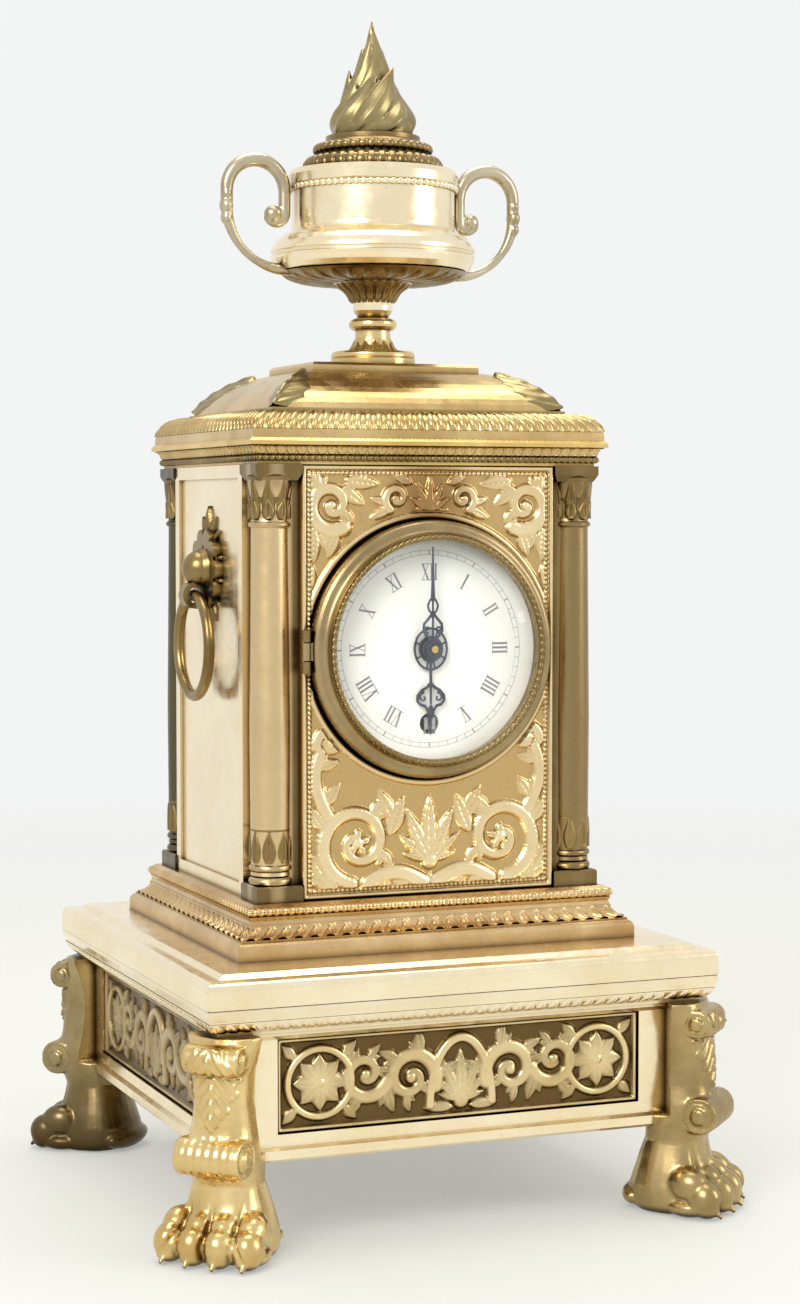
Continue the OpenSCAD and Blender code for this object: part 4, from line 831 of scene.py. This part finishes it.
def leg_skin():
    """A lion's-paw leg with an acanthus leaf down its front, in its own frame, in millimetres."""
    bm = bmesh.new()
    loft(bm, [(0.6, 1, 14, 15), (3, 1, 16, 16.5), (9, 0, 15.5, 16), (15, 0, 13.5, 14.5), (20, 0, 12, 13),
              (25, 0.5, 10.6, 11.6), (31, 2, 11.8, 12.2), (38, 3, 11.8, 12.2), (45, 3, 10.2, 10.6),
              (53, 3.5, 9.2, 9.6), (62, 3, 9.0, 10.0), (69, 1.5, 9.6, 12.0), (74, 0.2, 10.2, 13.6)])
    # Toes: a knuckle, a pad and a claw each
    for k in (-1.5, -0.5, 0.5, 1.5):
        out, y, turn = 16.4 - 0.9 * k * k, 9.4 * k, 9 * k
        ball(bm, (out - 5.5, y * 0.93, 11.2), 6.6, (1.15, 0.86, 0.95), turn)
        ball(bm, (out + 0.4, y, 7.0), 6.6, (0.98, 0.84, 0.98), turn)
        ball(bm, (out + 1.4, y, 3.6), 5.3, (0.92, 0.86, 0.64), turn)
        ball(bm, (out - 6, y * 0.96, 3.4), 5.6, (1.5, 0.95, 0.6), turn)
        rod(bm, (out + 3.6, y * 1.03, 4.8), (out + 7.2, y * 1.05, 0.9), 1.9, 0.7)
    # Heel pad
    ball(bm, (-12.5, 0, 4.6), 7.2, (0.8, 1.9, 0.62))
    for x, z, r, half, _ in LEG_ROLLS:
        rod(bm, (x, -half, z), (x, half, z), r, r)
        rod(bm, (x, -half - 1.2, z), (x, half + 1.2, z), r * 0.42, r * 0.42)
    co, no, faces = fuse(bm, 0.62, 0.5, 3)
    x, y, z = co.T
    # Acanthus leaf on the front, its lobes cut by veins
    t = np.clip((71 - z) / 28, 0, 1)
    lobes = 1 - 0.20 * np.abs(np.sin(5.5 * math.pi * t))
    half = 9.6 * np.sin(math.pi * np.clip(0.16 + 0.84 * t, 0, 1) ** 0.9) ** 0.8 * lobes
    inside = np.clip((half - np.abs(y)) / 0.9, 0, 1) * ((z > 43) & (z < 71))
    veins = np.cos((z * 0.62 + np.abs(y) * 0.85) * 2.1)
    leaf = inside * (0.95 + 0.38 * veins + 0.5 * np.exp(-(y / 0.9) ** 2))
    # Tendons between the toes, running up the foot
    gaps = sum(np.exp(-((y * 17 / np.maximum(17, 30 - z) - g * 9.4) / 0.9) ** 2) for g in (-1, 0, 1))
    tendon = -1.0 * gaps * np.clip((26 - z) / 9, 0, 1) * np.clip(z / 7, 0, 1)
    # Spirals cut into the ends of the rolls, and ridges round the lower one
    curl = np.zeros_like(x)
    for cx, cz, r, _, edge in LEG_ROLLS:
        rr, aa = np.hypot(x - cx, z - cz), np.arctan2(z - cz, x - cx)
        cut = -0.55 * np.clip(np.cos(2 * math.pi * (rr / 2.3 - aa / (2 * math.pi))), 0, 1) ** 2
        curl += cut * (np.abs(y) > edge) * (rr < r - 0.5) * (rr > r * 0.45)
    cx, cz = LEG_ROLLS[0][:2]
    ridge = 0.35 * np.clip(np.cos(y * 2.0), 0, 1) * (np.hypot(x - cx, z - cz) < 7.4) * (np.abs(y) < 9)
    front = np.clip(no[:, 0] * 1.6 - 0.2, 0, 1)
    co = co + no * (front * (leaf + tendon) + curl + ridge * np.clip(no[:, 0], 0, 1))[:, None]
    co[:, 2] = np.clip(co[:, 2], 0, LEG_TOP)
    # The back of the leg stops inside the wall of the apron
    co[:, 0] = np.where(co[:, 2] > 34, np.maximum(co[:, 0], -5.5 + 0.6 * np.abs(co[:, 1])), co[:, 0])
    return co, faces


def legs():
    co, faces = leg_skin()
    # The front right and back legs take darker copies of the gilt: painted shade
    looks = {"front_left": "leg_gilt", "front_right": "leg_gilt_right_painted_shade"}
    for corner, (sx, sy) in CORNERS.items():
        node = "leg_" + corner
        low, high = box_mm(node)
        d = math.atan2(sy, sx)
        c, s = math.cos(d), math.sin(d)
        px = np.clip(sx * LEG_AT[0] + c * co[:, 0] - s * co[:, 1], low[0], high[0])
        py = np.clip(sy * LEG_AT[1] + s * co[:, 0] + c * co[:, 1], low[1], high[1])
        verts = np.stack([px, py, co[:, 2]], 1) * MM
        look = looks.get(corner, "leg_gilt_back_painted_shade")
        add_mesh(node + "_cast", verts, faces, "leg_gilt", node=node, look=look)


def finial():
    """Flame of twisted tongues, replacing the lobed cone."""
    low, high = box_mm("finial")
    z0, z1 = low[2], high[2]
    tall = z1 - z0
    bm = bmesh.new()
    core = ((0, 14.6), (3, 14.8), (9, 11.5), (18, 7.6), (27, 5.0), (34, 2.4), (38, 0.8))
    loft(bm, [(z0 + z, 0, r, r) for z, r in core], power=1.0, count=40)
    for i in range(8):
        top = z0 + tall * (0.44 + 0.07 * (i % 3))
        tongue(bm, 45 * i, 75, 12.2, 8.6 + (i % 2), z0, top, 5.6, 3.0, sway=0.8)
    for i in range(6):
        top = z0 + tall * (0.70 + 0.06 * (i % 3))
        tongue(bm, 60 * i + 20, 95, 9.0, 3.4 + 0.6 * (i % 2), z0 + 3, top, 4.6, 2.8, sway=0.7)
    for i in range(3):
        tongue(bm, 120 * i, 130, 4.6, 0.4, z0 + 12, z1 - 3.5 * (i % 3), 3.6, 2.6, sway=0.5)
    co, _, faces = fuse(bm, 0.42, 0.35, 1)
    co[:, 2] = np.clip(co[:, 2], z0, z1)
    add_mesh("finial_flame", co * MM, faces, "dark_bronze", node="finial", look="flame_gilt")


def wire(bm, points, r, close=False):
    """A bent round wire in the plane of the dial: r is one radius, or a start and an end radius."""
    pts = [Vector((x, 0, z)) for x, z in points]
    if close:
        pts.append(pts[0])
    r0, r1 = r if isinstance(r, tuple) else (r, r)
    last = len(pts) - 1
    for i, p in enumerate(pts):
        here = r0 + (r1 - r0) * i / last
        bmesh.ops.create_icosphere(bm, subdivisions=2, radius=here, matrix=Matrix.Translation(p))
        if i < last and (pts[i + 1] - p).length > 1e-4:
            rod(bm, p, pts[i + 1], here, r0 + (r1 - r0) * (i + 1) / last)


def oval(a, b, count=22):
    """A closed oval about the dial's centre, as points for wire."""
    return arc(0, 0, a, 0, 360 - 360 / count, count, tall=b)


def pierced(name, bm, y, node):
    """Fuses flat metalwork drawn in the plane of the dial, and gives it its place and thickness."""
    co, _, faces = fuse(bm, 0.16, 0.4, 1)
    reach = float(np.abs(co[:, 1]).max())
    co[:, 1] = y + np.sign(co[:, 1]) * np.minimum(np.abs(co[:, 1]) / reach * 1.9, 1.0) * HAND_T / 2
    co[:, 2] += DIAL_Z
    add_mesh(name, co * MM, faces, "blued_steel", node=node)


def hour_hand():
    """Pierced hour hand that points to six."""
    bm = bmesh.new()
    wire(bm, oval(3.9, 3.9), 0.75, close=True)
    wire(bm, oval(6.1, 7.2), 0.42, close=True)
    spade = ((0.4, -12.2), (1.5, -13.4), (3.4, -14.4), (4.9, -16.2), (5.0, -18.0),
             (3.8, -19.4), (2.2, -19.8), (1.2, -21.2), (0.3, -24.0))
    for s in (-1, 1):
        for turn in (20, 65, -30, -75):
            x, z = polar(1, turn)
            wire(bm, [(s * 4.0 * x, 4.0 * z), (s * 6.0 * x, 7.0 * z)], 0.34)
        wire(bm, mirrored(spade, s), (0.55, 0.5))
        wire(bm, spiral(s * 2.7, -16.9, 1.7, 0.9, 90, -s, 0.8, 26), (0.45, 0.3))
    wire(bm, [(0, -4), (0, -12.6)], 0.55)
    wire(bm, [(0, -12.6), (0, -19.0)], 0.45)
    wire(bm, [(0, -20.4), (0, -23), (0, -30)], (0.85, 0.22))
    pierced("hour_hand_pierced", bm, HOUR_HAND_Y, "hour_hand")


def minute_hand():
    """Pierced minute hand that points to twelve."""
    bm = bmesh.new()
    wire(bm, oval(2.9, 2.9), 0.95, close=True)
    heart = ((0.4, 3.4), (2.0, 4.4), (3.5, 6.4), (3.3, 8.8), (1.7, 10.6), (0.3, 12.4))
    drop = ((0.3, 12.2), (1.5, 13.6), (1.9, 15.2), (1.2, 16.8), (0.3, 18.0))
    for s in (-1, 1):
        wire(bm, mirrored(heart, s), 0.5)
        wire(bm, spiral(s * 1.9, 7.0, 1.25, 0.9, -90, s, 0.8, 26), (0.4, 0.3))
        wire(bm, mirrored(drop, s), 0.38)
    wire(bm, [(0, 3.4), (0, 18)], 0.4)
    wire(bm, [(0, 17.6), (0, 24), (0, 35.4)], (0.85, 0.3))
    pierced("minute_hand_pierced", bm, MINUTE_HAND_Y, "minute_hand")


# The dial's print: radius of the numerals and of the minute marks, and the rings round the marks
NUMERAL_R = 26.8
MINUTE_R = 33.6
TRACK_R = (32.8, 34.4)
NUMERALS = ("XII", "I", "II", "III", "IIII", "V", "VI", "VII", "VIII", "IX", "X", "XI")


def dial_print():
    """Roman numerals and a minute track, fired into the enamel."""
    verts, faces = [], []

    def patch(points, up=0.0, turn=0.0):
        """A flat face, moved up from the dial's centre and turned clockwise about it."""
        c, s = math.cos(math.radians(turn)), math.sin(math.radians(turn))
        first = len(verts)
        for x, z in points:
            z += up
            verts.append(((x * c + z * s) * MM, DIAL_PRINT_Y * MM, (DIAL_Z - x * s + z * c) * MM))
        faces.append(tuple(range(first, len(verts))))

    def bar(foot, head, w, low, high):
        """A stroke as wide as w from its foot to its head."""
        return [(foot - w / 2, low), (foot + w / 2, low), (head + w / 2, high), (head - w / 2, high)]

    half, thick, thin = 2.8, 0.72, 0.24
    wide = {"I": 1.5, "V": 3.3, "X": 3.3}
    strokes = {"I": ((0, 0, thick),),
               "V": ((0, -1.05, thick), (0, 1.05, thin)),
               "X": ((1.05, -1.05, thick), (-1.05, 1.05, thin))}
    for hour, text in enumerate(NUMERALS):
        length = sum(wide[t] for t in text)
        x = -length / 2
        for t in text:
            m = x + wide[t] / 2
            for foot, head, w in strokes[t]:
                patch(bar(m + foot, m + head, w, -half, half), NUMERAL_R, 30 * hour)
            x += wide[t]
        for z in (-half, half):
            patch(bar(0, 0, length - 0.2, z - thin / 2, z + thin / 2), NUMERAL_R, 30 * hour)
    for minute in range(60):
        patch(bar(0, 0, 0.42 if minute % 5 == 0 else 0.16, -0.75, 0.75), MINUTE_R, 6 * minute)
    count, line = 180, 0.07
    for r in TRACK_R:
        for i in range(count):
            a, b = 2 * math.pi * i / count, 2 * math.pi * (i + 1) / count
            patch([((r + e) * math.cos(q), (r + e) * math.sin(q))
                   for q, e in ((a, -line), (a, line), (b, line), (b, -line))])
    add_mesh("dial_print", verts, faces, "blued_steel", body=BODY_OF["dial"], smooth=False, look="dial_ink")


def urn_handles():
    """Cast handles with a ball in the hook and a leaf collar, replacing the plain ones."""
    z = BOWL_Z
    line = arc(37.6, z + 34, 3.4, 330, 180, 12) + arc(45.1, z + 42, 10.9, 180, 0, 26)
    line += arc(34, z + 36, 22, 0, -84, 26) + [(33.6, z + 14.0), (31.5, z + 14.2)]
    for s, node in ((-1, "urn_handle_left"), (1, "urn_handle_right")):
        bm = bmesh.new()
        pts = [(s * x, 0, q) for x, q in line]
        for i, (p, q) in enumerate(zip(pts, pts[1:])):
            t = i / len(line)
            r = 1.5 + 1.1 * math.sin(math.pi * min(1, t * 1.35)) + 6 * max(0, t - 0.85)
            rod(bm, p, q, r, r)
            ball(bm, p, r)
        ball(bm, (s * 38.6, 0, z + 33.6), 3.3)
        for k in range(-1, 2):
            ball(bm, (s * 56.2, 0, z + 36 + 4.2 * k), 3.1 - 0.5 * abs(k), (0.8, 1.05, 1.0))
        co, _, faces = fuse(bm, 0.42, 0.4, 2)
        add_mesh(node + "_cast", co * MM, faces, "roof_gilt", node=node, look="handle_gilt")


def turned_dress():
    """Beads, gadroons and leaves round the urn and its lid, and beads inside the bezel."""
    z = BOWL_Z
    belly = [(14.2, -9.8), (18, -9.9)] + arc(23, 0, 14.7, -84, -40, 10, tall=9.8)
    lid = [(25.1, 0.2), (25.2, 1.2), (24.9, 2.6), (23.6, 4.2), (21.6, 4.8)]
    for name, up, profile, count, pattern, high, slot, across in (
            ("urn_rim_beads", z + 44.0, arc(29.8, 0, 1.0, -90, 90), 72, beads, 0.55, "pale_gilt", 10),
            ("urn_cup_ribs", z + 1, arc(16.5, 0, 9.2, 170, 106), 20, ribs, 1.1, "dark_bronze", 14),
            ("urn_foot_leaves", STEM_Z, arc(14.5, 11, 8, -118, -172, 8), 12, leaves, 0.9, "roof_gilt", 14),
            ("urn_belly_leaves", z + 20.2, belly, 30, leaves, 0.8, "dark_bronze", 16),
            ("lid_gadroons", z + 50.4, lid, 40, ribs, 0.7, "dark_bronze", 12),
            ("lid_beads", z + 58.2, arc(19.6, 0, 1.8, -60, 80), 40, beads, 0.6, "dark_bronze", 10)):
        ring_band(name, "urn_body", (0, 0, up), profile, count, pattern, high, slot, across)
    ring_band("bezel_beads", "bezel", (0, BEZEL_FRONT_Y, DIAL_Z), arc(39.1, 0, 0.85, 180, 360), 96, beads,
              0.45, "dark_bronze", per=8, axis="Y")


def columns():
    """Leaves on the bell capitals, a collar of leaves under them, and leaves at the foot."""
    parts = {"_leaves": ([(5.9, 131.6), (6.1, 136), (6.9, 142), (7.6, 145.8)], 1.5),
             "_collar": ([(6.1, 131.4), (6.2, 135), (6.8, 138.5)], 1.9),
             "_foot": ([(6.5, 13.6), (6.6, 18), (6.6, 25)], 1.2)}
    for corner, (sx, sy) in CORNERS.items():
        at = (sx * COLUMN_AT[0], sy * COLUMN_AT[1], COLUMN_Z)
        for part, (profile, high) in parts.items():
            ring_band("column_" + corner + part, "pillar_" + corner, at, profile, 8, leaves, high,
                      "old_gold", across=20, per=20)


def mouldings():
    """Cast leaf, egg and bead courses on the plinth, the cornice, the roof and the slab."""
    band("plinth_leaves", "case_plinth", arc(8.6, 106, 5.2, -100, -170), 5.2, leaves, 1.0, "red_gilt", 14)
    band("plinth_beads", "case_plinth", arc(2.4, 109.6, 1.6, -70, 70), 2.6, beads, 0.55, "red_gilt", 9)
    # The beads under the cornice are dark bronze as painted shade, for the shadow line under the cornice
    band("cornice_beads_painted_shade", "cornice", arc(0.8, 264.3, 1.1, -80, 60), 2.3, beads, 0.6, "dark_bronze", 9)
    band("cornice_leaves", "cornice", arc(4.6, 265.6, 3.0, 178, 112), 3.6, leaves, 0.7, "roof_gilt", 12)
    band("roof_gadroons", "roof", arc(-8.5, 272.5, 8.5, 12, 78, 10, tall=8), 4.0, egg, 0.8, "roof_gilt", 16)
    band("slab_leaves", "platform_slab", arc(-5, 79.5, 4.0, -85, -8), 4.6, leaves, 0.7, "pale_gilt", 12)


def hip_leaves():
    """Acanthus leaves laid over the four hips of the roof, on the profile of its dome."""
    half_w, half_d = HALF_OF["roof"]
    rows, across = 60, 29
    t = np.linspace(0, 1, rows)[:, None]
    q = np.linspace(-1, 1, across)
    a = np.radians(80 * t)
    lobes = 1 - 0.18 * np.abs(np.sin(4.5 * math.pi * t))
    off = np.abs(q) * 11 * np.sin(math.pi * (0.08 + 0.92 * t) ** 0.75) ** 0.8 * lobes
    rise = 1.5 * np.sqrt(1 - q * q) + 0.6 * np.exp(-(q / 0.10) ** 2) - 0.5
    rise = rise + 0.2 * np.cos(2 * math.pi * (4.5 * t - 0.8 * np.abs(q))) * (1 - q * q)
    out = -11.5 - 21.5 * (0.5 * (1 - np.cos(a)) + 0.45 * t) + 0.35 * rise
    up = 281.7 + 14.3 * (0.5 * np.sin(a) + 0.45 * t) + 0.85 * rise
    x = half_w + out - off * (q >= 0)
    y = half_d + out - off * (q < 0)
    for corner, (sx, sy) in CORNERS.items():
        verts = np.stack([sx * x, sy * y, up], 2).reshape(-1, 3) * MM
        faces = [(a, d, c, b) if sx * sy > 0 else (b, c, d, a) for a, b, c, d in grid(rows, across)]
        add_mesh("roof_leaf_" + corner, verts, faces, "dark_bronze", body=BODY_OF["roof"], look="flame_gilt")


# Camera, stage and light
def camera():
    data = bpy.data.cameras.new("camera")
    data.lens = CAM_LENS
    data.sensor_width = 36
    data.clip_start = 0.05
    yaw, pitch = math.radians(CAM_YAW), math.radians(CAM_PITCH)
    cam = add_object("camera", data)
    point_at(cam, CAM_PLACE,
             (math.sin(yaw) * math.cos(pitch), math.cos(yaw) * math.cos(pitch), -math.sin(pitch)))
    bpy.context.scene.camera = cam


def stage():
    """A round pale floor that fades into the white of the background before its edge shows."""
    mesh = bpy.data.meshes.new("floor")
    count = 96
    rim = [(x, y, 0) for x, y in arc(0, 0, FLOOR_R, 0, 360 - 360 / count, count)]
    mesh.from_pydata([(0, 0, 0), *rim], [], [(0, i + 1, (i + 1) % count + 1) for i in range(count)])
    add_object("floor", mesh)
    n = Nodes("floor_white")
    n.put(Base_Color=srgb(216, 216, 208), Roughness=0.6, Specular_IOR_Level=0.2)
    glow = n.add("ShaderNodeEmission", {"Color": srgb(240, 241, 238)})[0]
    even = n.range(seen_rays(n.tree), 0, 1, 0, FLOOR_EVEN)
    solid = blend(n.tree, even, n.tree.nodes["Principled BSDF"].outputs[0], glow)
    gone = n.range(n.vector("LENGTH", n.coords()), *FLOOR_FADE, 0.0, 1.0)
    clear = n.add("ShaderNodeBsdfTransparent")[0]
    fill(n.tree.nodes["Material Output"], {"Surface": blend(n.tree, gone, solid, clear)})
    mesh.materials.append(n.mat)


def area(name, place, size, power):
    data = bpy.data.lights.new(name, "AREA")
    data.shape = "RECTANGLE"
    data.size, data.size_y = size
    data.energy = power
    point_at(add_object(name, data), place, Vector(LIGHT_AIM) - Vector(place))


def lights():
    """Soft studio light. The world lights the object at one level and shows as white behind it."""
    world = bpy.data.worlds.new("studio")
    bpy.context.scene.world = world
    world.use_nodes = True
    tree = world.node_tree
    soft = tree.nodes["Background"]
    fill(soft, {"Color": (1.0, 0.99, 0.97, 1), "Strength": 0.82})
    white = make(tree, "ShaderNodeBackground", {"Color": srgb(243, 244, 244)})[0]
    fill(tree.nodes["World Output"], {"Surface": blend(tree, seen_rays(tree), soft.outputs[0], white)})
    area("key", (-1.1, -1.0, 1.1), (0.8, 0.8), 16)
    area("fill", (1.3, -0.9, 0.7), (0.7, 0.9), 6)
    area("top", (0.1, 0.2, 1.5), (0.9, 0.9), 10)


dress_frame()
front_panel()
for side_no, side_name in enumerate(("front", "right", "back", "left")):
    frieze("frieze_" + side_name, side_no)
legs()
finial()
hour_hand()
minute_hand()
dial_print()
urn_handles()
turned_dress()
columns()
mouldings()
hip_leaves()
boss("handle_boss_right", 1)
boss("handle_boss_left", 3)
camera()
stage()
lights()
bpy.context.scene.view_settings.view_transform = "Standard"
